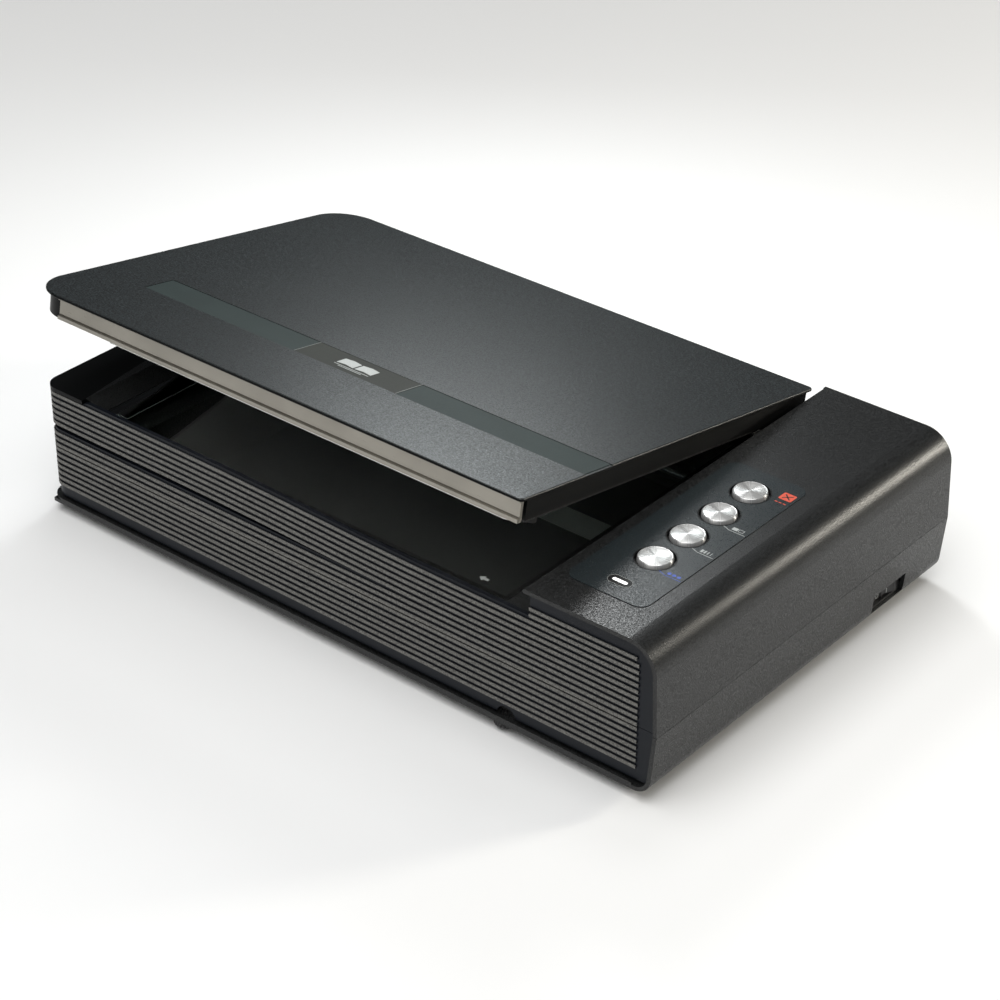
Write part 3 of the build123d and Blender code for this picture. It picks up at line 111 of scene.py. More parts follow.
def add_softbox(name, azimuth, elevation, distance, size, watts, color):
    """Softbox aimed at the middle of the scanner; azimuth runs from the back (+Y) to the right (+X)."""
    turn, rise = radians(azimuth), radians(elevation)
    towards = Vector((sin(turn) * cos(rise), cos(turn) * cos(rise), sin(rise)))
    place_light(name, Vector(AIM_AT) + towards * distance, -towards, size, watts, color)


def place_light(name, place, facing, size, watts, color):
    """Rectangular area light at a place, shining along its facing direction."""
    data = bpy.data.lights.new(name, "AREA")
    data.shape = "RECTANGLE"
    data.size, data.size_y = size
    data.energy = watts
    data.color = color
    light = bpy.data.objects.new(name, data)
    scene.collection.objects.link(light)
    light.location = place
    light.rotation_mode = "QUATERNION"
    light.rotation_quaternion = Vector(facing).to_track_quat("-Z", "Y")


def add_studio():
    """Plain pale floor under soft lights."""
    world = bpy.data.worlds.new("studio")
    scene.world = world
    world.use_nodes = True
    background = world.node_tree.nodes["Background"]
    background.inputs["Color"].default_value = (0.90, 0.95, 1.0, 1)
    background.inputs["Strength"].default_value = AMBIENT
    scene.view_settings.view_transform = "Standard"
    for softbox in SOFTBOXES:
        add_softbox(*softbox)
    for card in CARDS:
        place_light(*card)
    bpy.ops.mesh.primitive_plane_add(size=FLOOR_SIZE, location=(0, 0, 0))
    floor = bpy.context.object
    floor.name = "floor"
    floor.data.materials.append(floor_material())


# ---------------------------------------------------------------- material helpers
def start_material(name, roughness, metallic=0.0, specular=0.5):
    """Empty Principled material; returns it with its tree and shader."""
    material = bpy.data.materials.new(name)
    material.use_nodes = True
    tree = material.node_tree
    shader = tree.nodes["Principled BSDF"]
    shader.inputs["Roughness"].default_value = roughness
    shader.inputs["Metallic"].default_value = metallic
    shader.inputs["Specular IOR Level"].default_value = specular
    return material, tree, shader


def object_coordinates(tree, stretch=(1, 1, 1)):
    """Position on the piece in metres, stretched along its axes."""
    coordinates = tree.nodes.new("ShaderNodeTexCoord")
    mapping = tree.nodes.new("ShaderNodeMapping")
    mapping.inputs["Scale"].default_value = stretch
    tree.links.new(coordinates.outputs["Object"], mapping.inputs["Vector"])
    return mapping.outputs["Vector"]


def noise(tree, vector, scale, detail=2.0, roughness=0.5):
    """Noise value; scale is in features per metre."""
    texture = tree.nodes.new("ShaderNodeTexNoise")
    texture.inputs["Scale"].default_value = scale
    texture.inputs["Detail"].default_value = detail
    texture.inputs["Roughness"].default_value = roughness
    tree.links.new(vector, texture.inputs["Vector"])
    return texture.outputs["Fac"]


def cells(tree, vector, scale):
    """Distance to the nearest point of a random cell pattern."""
    texture = tree.nodes.new("ShaderNodeTexVoronoi")
    texture.inputs["Scale"].default_value = scale
    tree.links.new(vector, texture.inputs["Vector"])
    return texture.outputs["Distance"]


def ramp(tree, value, stops):
    """Colour ramp; stops are (position, colour) pairs."""
    node = tree.nodes.new("ShaderNodeValToRGB")
    while len(node.color_ramp.elements) < len(stops):
        node.color_ramp.elements.new(0.5)
    for element, (position, color) in zip(node.color_ramp.elements, stops):
        element.position = position
        element.color = (*color, 1)
    tree.links.new(value, node.inputs["Fac"])
    return node.outputs["Color"]


def tint(tree, shader, value, low, high, positions=(0.3, 0.7)):
    """Base colour that runs from low to high with a value."""
    color = ramp(tree, value, tuple(zip(positions, (low, high))))
    tree.links.new(color, shader.inputs["Base Color"])


def gloss(tree, shader, value, low, high):
    """Roughness that runs from low to high with a value."""
    tree.links.new(remap(tree, value, low, high), shader.inputs["Roughness"])


def mix_color(tree, factor, first, second):
    """Blend of two colours by a factor."""
    node = tree.nodes.new("ShaderNodeMix")
    node.data_type = "RGBA"
    tree.links.new(factor, node.inputs["Factor"])
    tree.links.new(first, node.inputs["A"])
    tree.links.new(second, node.inputs["B"])
    return node.outputs["Result"]


def remap(tree, value, low, high, from_low=0.0, from_high=1.0):
    """Value moved from one range to another, clamped."""
    node = tree.nodes.new("ShaderNodeMapRange")
    node.inputs["From Min"].default_value = from_low
    node.inputs["From Max"].default_value = from_high
    node.inputs["To Min"].default_value = low
    node.inputs["To Max"].default_value = high
    tree.links.new(value, node.inputs["Value"])
    return node.outputs["Result"]


def arithmetic(tree, operation, first, second):
    """One sum on numbers or node outputs."""
    node = tree.nodes.new("ShaderNodeMath")
    node.operation = operation
    for socket, value in zip(node.inputs, (first, second)):
        if isinstance(value, (int, float)):
            socket.default_value = value
        else:
            tree.links.new(value, socket)
    return node.outputs["Value"]


def bump(tree, shader, height, depth, strength=1.0, under=None):
    """Bump of a real depth in metres, on top of another bump if one is given."""
    node = tree.nodes.new("ShaderNodeBump")
    node.inputs["Distance"].default_value = depth
    node.inputs["Strength"].default_value = strength
    tree.links.new(height, node.inputs["Height"])
    if under is not None:
        tree.links.new(under, node.inputs["Normal"])
    tree.links.new(node.outputs["Normal"], shader.inputs["Normal"])
    return node.outputs["Normal"]


def shade(color, factor):
    """Colour made darker or lighter by a factor."""
    return tuple(channel * factor for channel in color)


# ---------------------------------------------------------------- materials
def grained_plastic(name, color, roughness, grain=1000.0, depth=0.00009, contrast=0.85, specular=0.42):
    """Moulded plastic with a fine spark texture: speckled colour, uneven gloss and a pebbled bump."""
    material, tree, shader = start_material(name, roughness, specular=specular)
    vector = object_coordinates(tree)
    speckle = noise(tree, vector, grain, 2.0, 0.6)
    cloud = noise(tree, vector, 14.0, 3.0, 0.5)
    bright = 1.3 * contrast
    fine = ramp(tree, speckle, ((0.43, shade(color, 1 - contrast)), (0.59, shade(color, 1 + bright))))
    broad = ramp(tree, speckle, ((0.42, shade(color, 0.95 - contrast)), (0.60, shade(color, 1.1 + bright))))
    tree.links.new(mix_color(tree, cloud, fine, broad), shader.inputs["Base Color"])
    sparkle = remap(tree, speckle, GLOSS_SWING, -GLOSS_SWING, 0.3, 0.7)
    uneven = arithmetic(tree, "ADD", sparkle, remap(tree, cloud, roughness - 0.03, roughness + 0.03))
    tree.links.new(uneven, shader.inputs["Roughness"])
    pebbles = cells(tree, vector, grain * 1.3)
    under = bump(tree, shader, pebbles, depth * 0.6, 0.5)
    bump(tree, shader, speckle, depth, 1.0, under)
    return material


def smooth_plastic(name, color, roughness, specular=0.5):
    """Satin moulding: nearly even colour, faint flow marks and fine surface waviness."""
    material, tree, shader = start_material(name, roughness, specular=specular)
    vector = object_coordinates(tree)
    flow = noise(tree, vector, 22.0, 4.0, 0.55)
    dust = noise(tree, vector, 900.0, 2.0, 0.5)
    tint(tree, shader, flow, shade(color, 0.86), shade(color, 1.14))
    gloss(tree, shader, dust, roughness - 0.05, roughness + 0.07)
    bump(tree, shader, dust, 0.00002, 0.5)
    return material


def page_rib_plastic():
    """Front and left skin: satin blue-black ground, with grained crests on the page ribs painted a light
    grey-brown as a painted highlight.
    """
    material, tree, shader = start_material("page_rib_plastic", 0.4, specular=0.2)
    vector = object_coordinates(tree)
    axes = tree.nodes.new("ShaderNodeSeparateXYZ")
    tree.links.new(vector, axes.inputs["Vector"])
    across = arithmetic(tree, "MAXIMUM", arithmetic(tree, "SUBTRACT", RIB_CORNER[0], axes.outputs["X"]), 0.0)
    along = arithmetic(tree, "MAXIMUM", arithmetic(tree, "SUBTRACT", RIB_CORNER[1], axes.outputs["Y"]), 0.0)
    across_squared = arithmetic(tree, "POWER", across, 2.0)
    along_squared = arithmetic(tree, "POWER", along, 2.0)
    squares = arithmetic(tree, "ADD", across_squared, along_squared)
    reach = arithmetic(tree, "SQRT", squares, 0.0)
    crest = remap(tree, reach, 0.0, 1.0, RIB_CREST_R - 0.7 * MM, RIB_CREST_R - 0.35 * MM)
    speckle = noise(tree, vector, 1100.0, 2.0, 0.65)
    flow = noise(tree, vector, 25.0, 3.0, 0.5)
    ground = ramp(tree, flow, ((0.3, (0.0050, 0.0066, 0.0100)), (0.7, (0.0062, 0.0080, 0.0120))))
    # painted highlight: the crests of the ribs are painted far lighter than the ground, where light catches them
    crest_highlight = ramp(tree, speckle, ((0.30, (0.065, 0.064, 0.060)), (0.70, (0.215, 0.210, 0.195))))
    tree.links.new(mix_color(tree, crest, ground, crest_highlight), shader.inputs["Base Color"])
    gloss(tree, shader, crest, 0.38, 0.52)
    bump(tree, shader, arithmetic(tree, "MULTIPLY", speckle, crest), 0.00025, 0.9)
    return material


def brushed_metal(name, color, roughness, stretch=(1, 40, 40), scale=60.0, metallic=1.0):
    """Metal with fine straight marks; the stretched axes are across the marks."""
    material, tree, shader = start_material(name, roughness, metallic)
    vector = object_coordinates(tree, stretch)
    marks = noise(tree, vector, scale, 3.0, 0.6)
    blotches = noise(tree, object_coordinates(tree), 30.0, 2.0, 0.5)
    tint(tree, shader, blotches, shade(color, 0.9), shade(color, 1.08))
    gloss(tree, shader, marks, roughness - 0.08, roughness + 0.12)
    bump(tree, shader, marks, 0.00002, 0.4)
    return material


def spun_metal():
    """Turned button face: highlights that fan out from the piece's own axis, over light and dark spokes of painted
    highlight set by angle round that axis.
    """
    material, tree, shader = start_material("spun_metal", 0.26, 0.6)
    shader.inputs["Anisotropic"].default_value = 0.95
    shader.inputs["Anisotropic Rotation"].default_value = 0.25
    tangent = tree.nodes.new("ShaderNodeTangent")
    tangent.direction_type = "RADIAL"
    tangent.axis = "Z"
    tree.links.new(tangent.outputs["Tangent"], shader.inputs["Tangent"])
    flat = tree.nodes.new("ShaderNodeVectorMath")
    flat.operation = "MULTIPLY"
    flat.inputs[1].default_value = (1, 1, 0)
    tree.links.new(object_coordinates(tree), flat.inputs[0])
    spoke = tree.nodes.new("ShaderNodeVectorMath")
    spoke.operation = "NORMALIZE"
    tree.links.new(flat.outputs["Vector"], spoke.inputs[0])
    # painted highlight: light and dark wedges by angle round the axis, painted into colour and gloss to stand in
    # for the highlights of the turned face
    fan = noise(tree, spoke.outputs["Vector"], 2.6, 3.0, 0.55)
    painted_fan_tones = ((0.36, (0.47, 0.47, 0.47)), (0.5, (0.55, 0.55, 0.545)), (0.62, (0.66, 0.66, 0.65)))
    tree.links.new(ramp(tree, fan, painted_fan_tones), shader.inputs["Base Color"])
    tree.links.new(remap(tree, fan, 0.30, 0.22, 0.35, 0.65), shader.inputs["Roughness"])
    return material


def glass_material(name, color, roughness, transmission=1.0):
    """Clear or frosted glass with a faint smear."""
    material, tree, shader = start_material(name, roughness)
    shader.inputs["Transmission Weight"].default_value = transmission
    shader.inputs["IOR"].default_value = 1.52
    smear = noise(tree, object_coordinates(tree), 9.0, 3.0, 0.6)
    tint(tree, shader, smear, shade(color, 0.96), color)
    gloss(tree, shader, smear, roughness, roughness + 0.02)
    return material


def foam_material():
    """White mat: closed fine cells under a soft skin."""
    material, tree, shader = start_material("white_foam", 0.85, specular=0.25)
    shader.inputs["Sheen Weight"].default_value = 0.25
    vector = object_coordinates(tree)
    pores = cells(tree, vector, 1500.0)
    cloud = noise(tree, vector, 18.0, 3.0, 0.5)
    tint(tree, shader, cloud, (0.80, 0.80, 0.78), (0.88, 0.88, 0.86))
    bump(tree, shader, pores, 0.00012, 0.6)
    return material


def rubber_material(name, color, roughness=0.75):
    """Dull moulded rubber with a fine grain."""
    material, tree, shader = start_material(name, roughness, specular=0.35)
    vector = object_coordinates(tree)
    grain = noise(tree, vector, 700.0, 3.0, 0.6)
    tint(tree, shader, grain, shade(color, 0.8), shade(color, 1.25))
    gloss(tree, shader, grain, roughness - 0.08, roughness + 0.08)
    bump(tree, shader, grain, 0.00008, 0.6)
    return material


def board_material():
    """Circuit board: green mask over a woven base, with faint copper tracks showing through."""
    material, tree, shader = start_material("circuit_board", 0.35)
    vector = object_coordinates(tree)
    tracks = tree.nodes.new("ShaderNodeTexBrick")
    tracks.inputs["Scale"].default_value = 90.0
    tracks.inputs["Mortar Size"].default_value = 0.06
    tracks.inputs["Color1"].default_value = (0.010, 0.075, 0.035, 1)
    tracks.inputs["Color2"].default_value = (0.014, 0.090, 0.042, 1)
    tracks.inputs["Mortar"].default_value = (0.035, 0.16, 0.075, 1)
    tree.links.new(vector, tracks.inputs["Vector"])
    tree.links.new(tracks.outputs["Color"], shader.inputs["Base Color"])
    weave = noise(tree, vector, 1200.0, 2.0, 0.5)
    bump(tree, shader, weave, 0.00002, 0.5)
    return material


def mirror_material():
    """Front-coated mirror with a little haze."""
    material, tree, shader = start_material("front_mirror", 0.02, 1.0)
    haze = noise(tree, object_coordinates(tree), 40.0, 2.0, 0.5)
    tint(tree, shader, haze, (0.84, 0.86, 0.87), (0.90, 0.92, 0.93))
    gloss(tree, shader, haze, 0.01, 0.04)
    return material


def print_material(name, color, roughness=0.5, emission=0.0):
    """Screen-printed ink: slightly uneven cover and gloss."""
    material, tree, shader = start_material(name, roughness)
    ink = noise(tree, object_coordinates(tree), 1800.0, 2.0, 0.6)
    tint(tree, shader, ink, shade(color, 0.82), color, (0.3, 0.65))
    gloss(tree, shader, ink, roughness - 0.08, roughness + 0.08)
    if emission:
        shader.inputs["Emission Color"].default_value = (1.0, 1.0, 0.98, 1)
        shader.inputs["Emission Strength"].default_value = emission
    return material


def floor_material():
    """Pale paper with a very faint mottle."""
    material, tree, shader = start_material("floor_paper", 0.7, specular=0.2)
    mottle = noise(tree, object_coordinates(tree), 2.0, 2.0, 0.5)
    tint(tree, shader, mottle, (0.86, 0.86, 0.86), (0.88, 0.88, 0.88))
    return material


CHARCOAL = (0.0128, 0.0133, 0.0134)
LID_CHARCOAL = (0.0125, 0.0150, 0.0158)
MATERIALS = {
    "case_plastic": grained_plastic("case_plastic", CHARCOAL, 0.34, 1150.0, 0.00007, specular=0.34),
    "lid_plastic": grained_plastic("lid_plastic", LID_CHARCOAL, 0.38),
    "page_rib_plastic": page_rib_plastic(),
    "platen_glass": glass_material("platen_glass", (0.80, 0.87, 0.84), 0.0),
    "adhesive_tape": rubber_material("adhesive_tape", (0.02, 0.02, 0.02), 0.6),
    "white_strip": smooth_plastic("white_strip", (0.82, 0.82, 0.80), 0.7),
    "inner_plastic": grained_plastic("inner_plastic", (0.014, 0.014, 0.014), 0.5),
    "hinge_plastic": grained_plastic("hinge_plastic", (0.030, 0.030, 0.031), 0.45),
    "stripe_film": smooth_plastic("stripe_film", (0.020, 0.030, 0.029), 0.60, 0.22),
    "badge_metal": smooth_plastic("badge_metal", (0.024, 0.026, 0.022), 0.60, 0.22),
    "light_band": brushed_metal("light_band", (0.34, 0.32, 0.28), 0.30, (1, 30, 30), 90.0, 0.85),
    "white_foam": foam_material(),
    "rubber": rubber_material("rubber", (0.022, 0.022, 0.022)),
    "zinc_steel": brushed_metal("zinc_steel", (0.56, 0.56, 0.57), 0.36, (1, 12, 12), 70.0),
    "polished_steel": brushed_metal("polished_steel", (0.62, 0.62, 0.63), 0.16, (40, 1, 1), 40.0),
    "label_film": grained_plastic("label_film", (0.0150, 0.0200, 0.0220), 0.34, 1300.0, 0.00006, 0.20, 0.30),
    "light_pipe": glass_material("light_pipe", (0.90, 0.93, 0.94), 0.35, 0.6),
    "circuit_board": board_material(),
    "chip_black": rubber_material("chip_black", (0.018, 0.018, 0.019), 0.5),
    "switch_black": smooth_plastic("switch_black", (0.012, 0.012, 0.013), 0.32),
    "button_metal": spun_metal(),
    "motor_can": brushed_metal("motor_can", (0.50, 0.50, 0.50), 0.30, (1, 1, 40), 60.0),
    "belt_rubber": rubber_material("belt_rubber", (0.03, 0.03, 0.03), 0.7),
    "cable_white": smooth_plastic("cable_white", (0.78, 0.78, 0.76), 0.45),
    "carriage_black": grained_plastic("carriage_black", (0.012, 0.012, 0.012), 0.6),
    "bearing_bronze": brushed_metal("bearing_bronze", (0.42, 0.28, 0.12), 0.38, (30, 1, 1), 60.0),
    "white_nylon": smooth_plastic("white_nylon", (0.72, 0.72, 0.68), 0.4),
    "lamp_glass": glass_material("lamp_glass", (0.94, 0.95, 0.97), 0.25, 0.5),
    "front_mirror": mirror_material(),
}
# painted shade: the sunken frame round the glass under the lid, and the walls and underside of the lid, take a
# much darker black than the rest of the same plastic
PAINTED_SHADE_BLACK = (0.0024, 0.0026, 0.0027)
SMOOTH_SHADED_ZONES = {
    "upper_housing": smooth_plastic("platen_frame_painted_shade", PAINTED_SHADE_BLACK, 0.40, 0.10),
    "lid_cover": smooth_plastic("lid_wall_painted_shade", PAINTED_SHADE_BLACK, 0.40, 0.12),
}
INKS = {
    "pale": print_material("pale_ink", (0.42, 0.44, 0.43)),
    "blue": print_material("blue_ink", (0.035, 0.085, 0.42)),
    "red": print_material("red_ink", (0.62, 0.07, 0.03)),
    "black": print_material("black_ink", (0.004, 0.004, 0.004)),
    "silver": print_material("silver_ink", (0.22, 0.23, 0.22), 0.35),
    "glow": print_material("lit_core", (0.92, 0.92, 0.90), 0.3, 0.9),
    "trim": smooth_plastic("dark_trim", (0.004, 0.004, 0.004), 0.40, 0.15),
}
EDGE_SOFTENING = {
    "front_fascia_upper": 0.35,
    "front_fascia_lower": 0.35,
    "control_label": 0.15,
    "lid_front_band": 0.2,
    "lid_stripe": 0.1,
    "lid_badge": 0.1,
    "power_rocker": 0.3,
    "power_switch_body": 0.3,
    "transport_lock": 0.3,
    "usb_socket": 0.1,
    "dc_inlet": 0.2,
}


def dress_cad_nodes():
    """Every CAD node takes the procedural material of its own slot; some get small rounded edges."""
    slots = {part["node"]: part["material_slot"] for part in frame["record"]["subparts"]}
    for name, node in nodes.items():
        node.data.materials.clear()
        node.data.materials.append(MATERIALS[slots[name]])
    for name, width in EDGE_SOFTENING.items():
        soften(nodes[name], width)
    # painted shade: faces of the platen frame and of the lid walls take the darker black
    for name, in_shaded_zone in (("upper_housing", in_platen_frame), ("lid_cover", is_lid_wall)):
        data = nodes[name].data
        data.materials.append(SMOOTH_SHADED_ZONES[name])
        for face in data.polygons:
            face.material_index = int(in_shaded_zone(data, face))


def in_platen_frame(data, face):
    """True on the sunken frame round the glass and on its low borders."""
    for k in face.vertices:
        corner = data.vertices[k].co
        if not all(low < value < high for value, (low, high) in zip(corner, PLATEN_FRAME)):
            return False
    return True


def is_lid_wall(data, face):
    """True on the walls and the underside of the lid skin."""
    return face.normal.dot(LID_UP) < 0.5


def soften(piece, width):
    """Small rounded edge, so that corners catch the light."""
    rounding = piece.modifiers.new("soft_edges", "BEVEL")
    rounding.width = width * MM
    rounding.segments = 2
    rounding.limit_method = "ANGLE"
    rounding.angle_limit = radians(40)
    rounding.harden_normals = False


# ---------------------------------------------------------------- piece builders
def make_piece(name, mesh, body, material, place=(0, 0, 0)):
    """Turns a bmesh in millimetres into a shown piece that rides on a body; place is its origin in metres."""
    bmesh.ops.scale(mesh, vec=(MM, MM, MM), verts=mesh.verts)
    bmesh.ops.recalc_face_normals(mesh, faces=mesh.faces)
    data = bpy.data.meshes.new(name)
    mesh.to_mesh(data)
    mesh.free()
    data.materials.append(material)
    piece = bpy.data.objects.new(name, data)
    piece.location = place
    scene.collection.objects.link(piece)
    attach(piece, body)
    return piece


def add_prism(mesh, outline, low, high, hole=None):
    """Straight-sided piece over an outline in the X-Y plane, open in the middle if a hole is given."""
    def ring(points, height):
        return [mesh.verts.new((x, y, height)) for x, y in points]

    bottom, top = ring(outline, low), ring(outline, high)
    count = len(outline)
    for k in range(count):
        mesh.faces.new((bottom[k], bottom[(k + 1) % count], top[(k + 1) % count], top[k]))
    if hole is None:
        mesh.faces.new(top)
        mesh.faces.new(bottom[::-1])
        return
    inner_bottom, inner_top = ring(hole, low), ring(hole, high)
    for k in range(count):
        n = (k + 1) % count
        mesh.faces.new((inner_bottom[n], inner_bottom[k], inner_top[k], inner_top[n]))
        mesh.faces.new((top[k], top[n], inner_top[n], inner_top[k]))
        mesh.faces.new((bottom[n], bottom[k], inner_bottom[k], inner_bottom[n]))


def add_line(mesh, points, width, low, high):
    """Printed line of even width through the points, mitred at its bends."""
    left, right = [], []
    for k, (x, y) in enumerate(points):
        before = Vector(points[max(k - 1, 0)])
        after = Vector(points[min(k + 1, len(points) - 1)])
        here = Vector((x, y))
        inward = (here - before).normalized() if k else (after - here).normalized()
        outward = (after - here).normalized() if k < len(points) - 1 else inward
        middle = (inward + outward).normalized()
        side = Vector((-middle.y, middle.x)) * (width / 2) / max(middle.dot(inward), 0.3)
        left.append((x + side.x, y + side.y))
        right.append((x - side.x, y - side.y))
    for k in range(len(points) - 1):
        add_prism(mesh, (left[k], left[k + 1], right[k + 1], right[k]), low, high)


def rectangle(x0, y0, x1, y1):
    return [(x0, y0), (x1, y0), (x1, y1), (x0, y1)]


def rounded_rectangle(x0, y0, x1, y1, radius, steps=8):
    points = []
    corners = ((x1 - radius, y0 + radius, -90), (x1 - radius, y1 - radius, 0))
    corners += ((x0 + radius, y1 - radius, 90), (x0 + radius, y0 + radius, 180))
    for x, y, start in corners:
        for k in range(steps + 1):
            angle = radians(start + 90 * k / steps)
            points.append((x + radius * cos(angle), y + radius * sin(angle)))
    return points


def circle(x, y, radius, count=48):
    angles = [2 * pi * k / count for k in range(count)]
    return [(x + radius * cos(angle), y + radius * sin(angle)) for angle in angles]


def box_mm(node):
    """Lowest and highest corner of a CAD node at rest, in millimetres."""
    low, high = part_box(node)
    return Vector(low) / MM, Vector(high) / MM


# ---------------------------------------------------------------- control panel details
PRINT_T = 0.05
BUTTONS = range(1, 5)
BUTTON_SEGMENTS = 96
CAP_FOOT = ((0.3, 0.0), (0.0, 0.3))  # in from the wall, and height above the foot
CAP_TOP = ((0.2, 0.7), (0.45, 0.25), (0.8, 0.0), (1.0, 0.06), (1.2, 0.06), (1.4, 0.0))  # in, and down
CAP_DISH = (0.05, 0.08)  # how far the face lies below its rim halfway in and in the middle
LEADER_PATH = ((8.2, -7.9), (12.8, -9.6), (23.0, -9.6))  # from the middle of a button
LEADER_W = 0.35
GREY_BARS = (0.9, 0.65, 0.4, 0.2)


def turned_cap(radius, height):
    """Round cap about its own middle: foot, short wall, bright chamfer, thin groove and dished face."""
    profile = [(radius - inset, rise) for inset, rise in CAP_FOOT]
    profile += [(radius - inset, height - drop) for inset, drop in CAP_TOP]
    profile.append((0.5 * radius, height - CAP_DISH[0]))
    mesh = bmesh.new()
    rings = []
    for r, z in profile:
        rings.append([mesh.verts.new((x, y, z - height / 2)) for x, y in circle(0, 0, r, BUTTON_SEGMENTS)])
    for inner, outer in zip(rings, rings[1:]):
        for m in range(BUTTON_SEGMENTS):
            n = (m + 1) % BUTTON_SEGMENTS
            mesh.faces.new((inner[m], inner[n], outer[n], outer[m]))
    middle = mesh.verts.new((0, 0, height / 2 - CAP_DISH[1]))
    for m in range(BUTTON_SEGMENTS):
        mesh.faces.new((rings[-1][m], rings[-1][(m + 1) % BUTTON_SEGMENTS], middle))
    mesh.faces.new(rings[0][::-1])
    return mesh


def add_button_faces():
    """Turned metal caps, each with its origin on its own axis."""
    for k in BUTTONS:
        cap = f"button_{k}_cap"
        low, high = box_mm(cap)
        mesh = turned_cap((high.x - low.x) / 2, high.z - low.z)
        place = (low + high) / 2 * MM
        metal = MATERIALS["button_metal"]
        piece = make_piece(f"button_face_{k}", mesh, f"button_{k}", metal, place)
        for face in piece.data.polygons:
            face.use_smooth = True
        piece.data.set_sharp_from_angle(angle=radians(25))
        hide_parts(cap)


def add_button_wells():
    """Dark gloss ring round every button hole."""
    top = box_mm("control_label")[1].z
    mesh = bmesh.new()
    for k in BUTTONS:
        low, high = box_mm(f"button_{k}_cap")
        x, y = (low.x + high.x) / 2, (low.y + high.y) / 2
        outer, inner = circle(x, y, WELL_R[1]), circle(x, y, WELL_R[0])
        add_prism(mesh, outer, top - 0.3, top + 2 * PRINT_T, inner)
    make_piece("button_wells", mesh, "case", INKS["trim"])


def add_status_light():
    """Pill-shaped light: dark gloss surround, thin silver line and a bright core."""
    low, high = box_mm("led_window")
    top = box_mm("control_label")[1].z
    x0, y0, x1, y1 = low.x, low.y, high.x, high.y
    half = (y1 - y0) / 2

    def pill(margin):
        return rounded_rectangle(x0 - margin, y0 - margin, x1 + margin, y1 + margin, half + margin)

    surround = bmesh.new()
    add_prism(surround, pill(1.2), top - 0.2, top + 0.12, pill(-1.2))
    make_piece("status_light_surround", surround, "case", INKS["trim"])
    rim = bmesh.new()
    add_prism(rim, pill(1.45), top - 0.2, top + 0.15, pill(1.2))
    make_piece("status_light_rim", rim, "case", INKS["silver"])
    core = bmesh.new()
    add_prism(core, pill(-1.3), high.z - 0.1, high.z + 0.05)
    make_piece("status_light_core", core, "case", INKS["glow"])


def add_label_prints():
    """Leader lines and plain pictograms beside the buttons, with no lettering."""
    top = box_mm("control_label")[1].z
    low, high = top - PRINT_T, top + PRINT_T
    centres = []
    for k in BUTTONS:
        cap_low, cap_high = box_mm(f"button_{k}_cap")
        centres.append(((cap_low.x + cap_high.x) / 2, (cap_low.y + cap_high.y) / 2))

    def leader(mesh, k):
        x, y = centres[k]
        add_line(mesh, [(x + dx, y + dy) for dx, dy in LEADER_PATH], LEADER_W, low, high)

    blue = bmesh.new()
    leader(blue, 0)
    x, y = centres[0][0] + 14.2, centres[0][1] - 7.4
    for n in range(3):
        add_prism(blue, circle(x + 3.0 * n, y + 0.4, 1.15, 24), low, high)
    make_piece("label_print_blue", blue, "case", INKS["blue"])

    pale = bmesh.new()
    leader(pale, 1)
    x, y = centres[1][0] + 13.6, centres[1][1] - 8.2
    for n, bar in enumerate(GREY_BARS):
        add_prism(pale, rectangle(x + 2.1 * n, y, x + 2.1 * n + bar * 1.6, y + 2.6), low, high)
    leader(pale, 2)
    x, y = centres[2][0] + 13.6, centres[2][1] - 8.2
    add_prism(pale, rectangle(x, y, x + 3.3, y + 2.6), low, high)
    hollow = rectangle(x + 4.1, y + 0.3, x + 6.8, y + 2.3)
    add_prism(pale, rectangle(x + 3.8, y, x + 7.1, y + 2.6), low, high, hollow)
    make_piece("label_print_pale", pale, "case", INKS["pale"])

    red = bmesh.new()
    x, y = centres[3][0] + 18.1, centres[3][1] + 9.0
    add_prism(red, rounded_rectangle(x - 4.0, y - 3.6, x + 4.0, y + 3.6, 1.0), low, high)
    for n in range(3):
        add_prism(red, rectangle(x - 3.6 + 2.6 * n, y - 7.4, x - 1.8 + 2.6 * n, y - 6.7), low, high)
    make_piece("label_print_red", red, "case", INKS["red"])
    cross = bmesh.new()
    for rise in (2.1, -2.1):
        add_line(cross, ((x - 2.4, y - rise), (x + 2.4, y + rise)), 0.8, high - 0.01, high + 0.02)
    make_piece("label_print_cross", cross, "case", INKS["black"])


# ---------------------------------------------------------------- lid details
def onto_lid(piece):
    """Turns a piece drawn on the closed lid up to where the lid stands at rest."""
    hinge = joints["lid_hinge"]
    pivot = Matrix.Translation(hinge["pos_m"])
    turn = Matrix.Rotation(LID_TILT, 4, Vector(hinge["axis"]))
    piece.data.transform(pivot @ turn @ pivot.inverted())


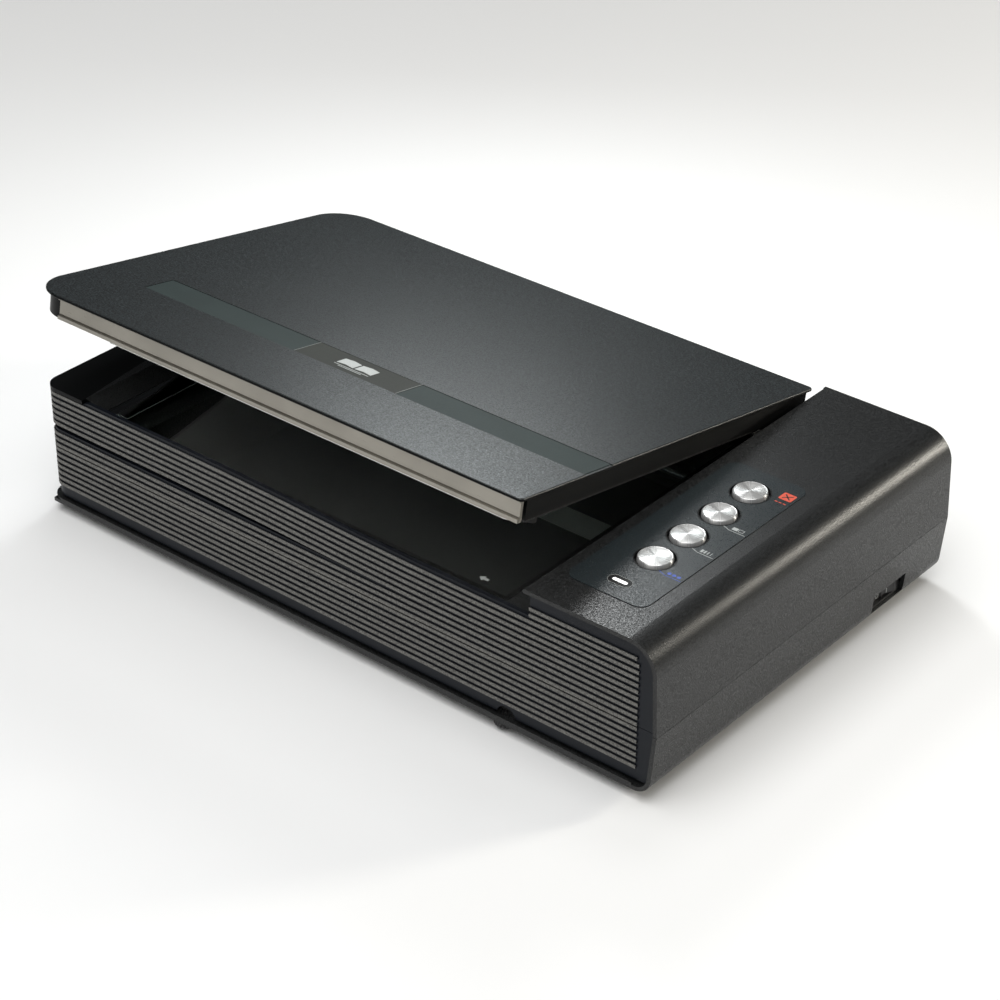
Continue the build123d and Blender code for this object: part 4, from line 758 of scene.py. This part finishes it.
def add_lid_prints_and_groove_shade():
    """Black line of painted shade along the groove at the stripe's front edge, thin frame lines and a plain
    open-book mark on the badge.
    """
    film, badge = LID_FILM_Z, LID_FILM_Z + 0.2
    left, right = LID_FILM_X
    x0, x1 = BADGE_X
    y0, y1 = STRIPE_Y
    # painted shade: a black line where the groove along the stripe's front edge lies in shade
    edges = bmesh.new()
    for a, b in ((left, x0 - 0.3), (x1 + 0.3, right)):
        add_prism(edges, rectangle(a, y0, b, y0 + 0.5), film - PRINT_T, film + PRINT_T)
    add_prism(edges, rectangle(x0, y0, x1, y0 + 0.5), badge - PRINT_T, badge + PRINT_T)
    onto_lid(make_piece("stripe_groove_shade", edges, "lid", INKS["black"]))
    frame_lines = bmesh.new()
    for x in (x0, x1 - 0.35):
        add_prism(frame_lines, rectangle(x, y0 + 0.5, x + 0.35, y1), badge - PRINT_T, badge + PRINT_T)
    onto_lid(make_piece("badge_lines", frame_lines, "lid", INKS["silver"]))
    book = bmesh.new()
    middle_x, middle_y = (x0 + x1) / 2, (y0 + y1) / 2 + 1.0
    for side in (-1, 1):
        outline = [(middle_x + side * 0.6, middle_y - 4.2), (middle_x + side * 6.5, middle_y - 3.2)]
        outline += [(middle_x + side * 12.5, middle_y - 4.2), (middle_x + side * 12.5, middle_y + 3.6)]
        outline += [(middle_x + side * 6.5, middle_y + 4.6), (middle_x + side * 0.6, middle_y + 3.6)]
        add_prism(book, outline, badge - PRINT_T, badge + PRINT_T)
    for n in range(2):
        y = middle_y - 6.4 - 1.5 * n
        reach = 12.5 - 4.0 * n
        line = rectangle(middle_x - reach, y, middle_x + reach, y + 0.5)
        add_prism(book, line, badge - PRINT_T, badge + PRINT_T)
    onto_lid(make_piece("badge_book_mark", book, "lid", INKS["pale"]))


# ---------------------------------------------------------------- small marks on the case
def add_platen_arrow():
    """Pale arrow at the front right corner of the platen, pointing left to where the page starts."""
    x, y, z = ARROW_AT
    points = [(-3.0, 0.0), (0.2, 2.4), (0.2, 0.95), (3.2, 0.95), (3.2, -0.95), (0.2, -0.95), (0.2, -2.4)]
    mesh = bmesh.new()
    add_prism(mesh, [(x + a, y + b) for a, b in points], z - PRINT_T, z + PRINT_T)
    make_piece("platen_arrow", mesh, "case", INKS["pale"])


def add_rocker_marks():
    """White ring and line on the two ends of the power rocker, laid on its hollow face."""
    low, high = box_mm("power_rocker")
    middle_y, middle_z = (low.y + high.y) / 2, (low.z + high.z) / 2
    joint = joints["power_rocker_tip"]
    lean = radians(joint["range_deg"][1]) / 2
    pivot = Vector(joint["pos_m"]) / MM
    lean_turn = Matrix.Rotation(-lean, 4, "Z")
    centre = Matrix.Translation((pivot.x, middle_y, middle_z))
    stand = Matrix.Rotation(radians(90), 4, "Y")
    ring, bar = bmesh.new(), bmesh.new()
    add_prism(ring, circle(0, 0, 1.6, 32), -PRINT_T, PRINT_T, circle(0, 0, 1.15, 32))
    add_prism(bar, rectangle(-1.6, -0.25, 1.6, 0.25), -PRINT_T, PRINT_T)
    for mesh, dy, dz in ((ring, -3.8, -1.9), (bar, 4.6, -1.9)):
        face_x = ROCKER_FACE_X + dy * dy / (2 * ROCKER_HOLLOW_R)
        slope = dy / ROCKER_HOLLOW_R
        place = Matrix.Translation((face_x, dy, dz)) @ Matrix.Rotation(-slope, 4, "Z") @ stand
        bmesh.ops.transform(mesh, matrix=centre @ lean_turn @ place, verts=mesh.verts)
    make_piece("rocker_ring_mark", ring, "rocker", INKS["pale"])
    make_piece("rocker_line_mark", bar, "rocker", INKS["pale"])


add_camera()
add_studio()
dress_cad_nodes()
add_button_faces()
add_button_wells()
add_status_light()
add_label_prints()
add_lid_prints_and_groove_shade()
add_platen_arrow()
add_rocker_marks()
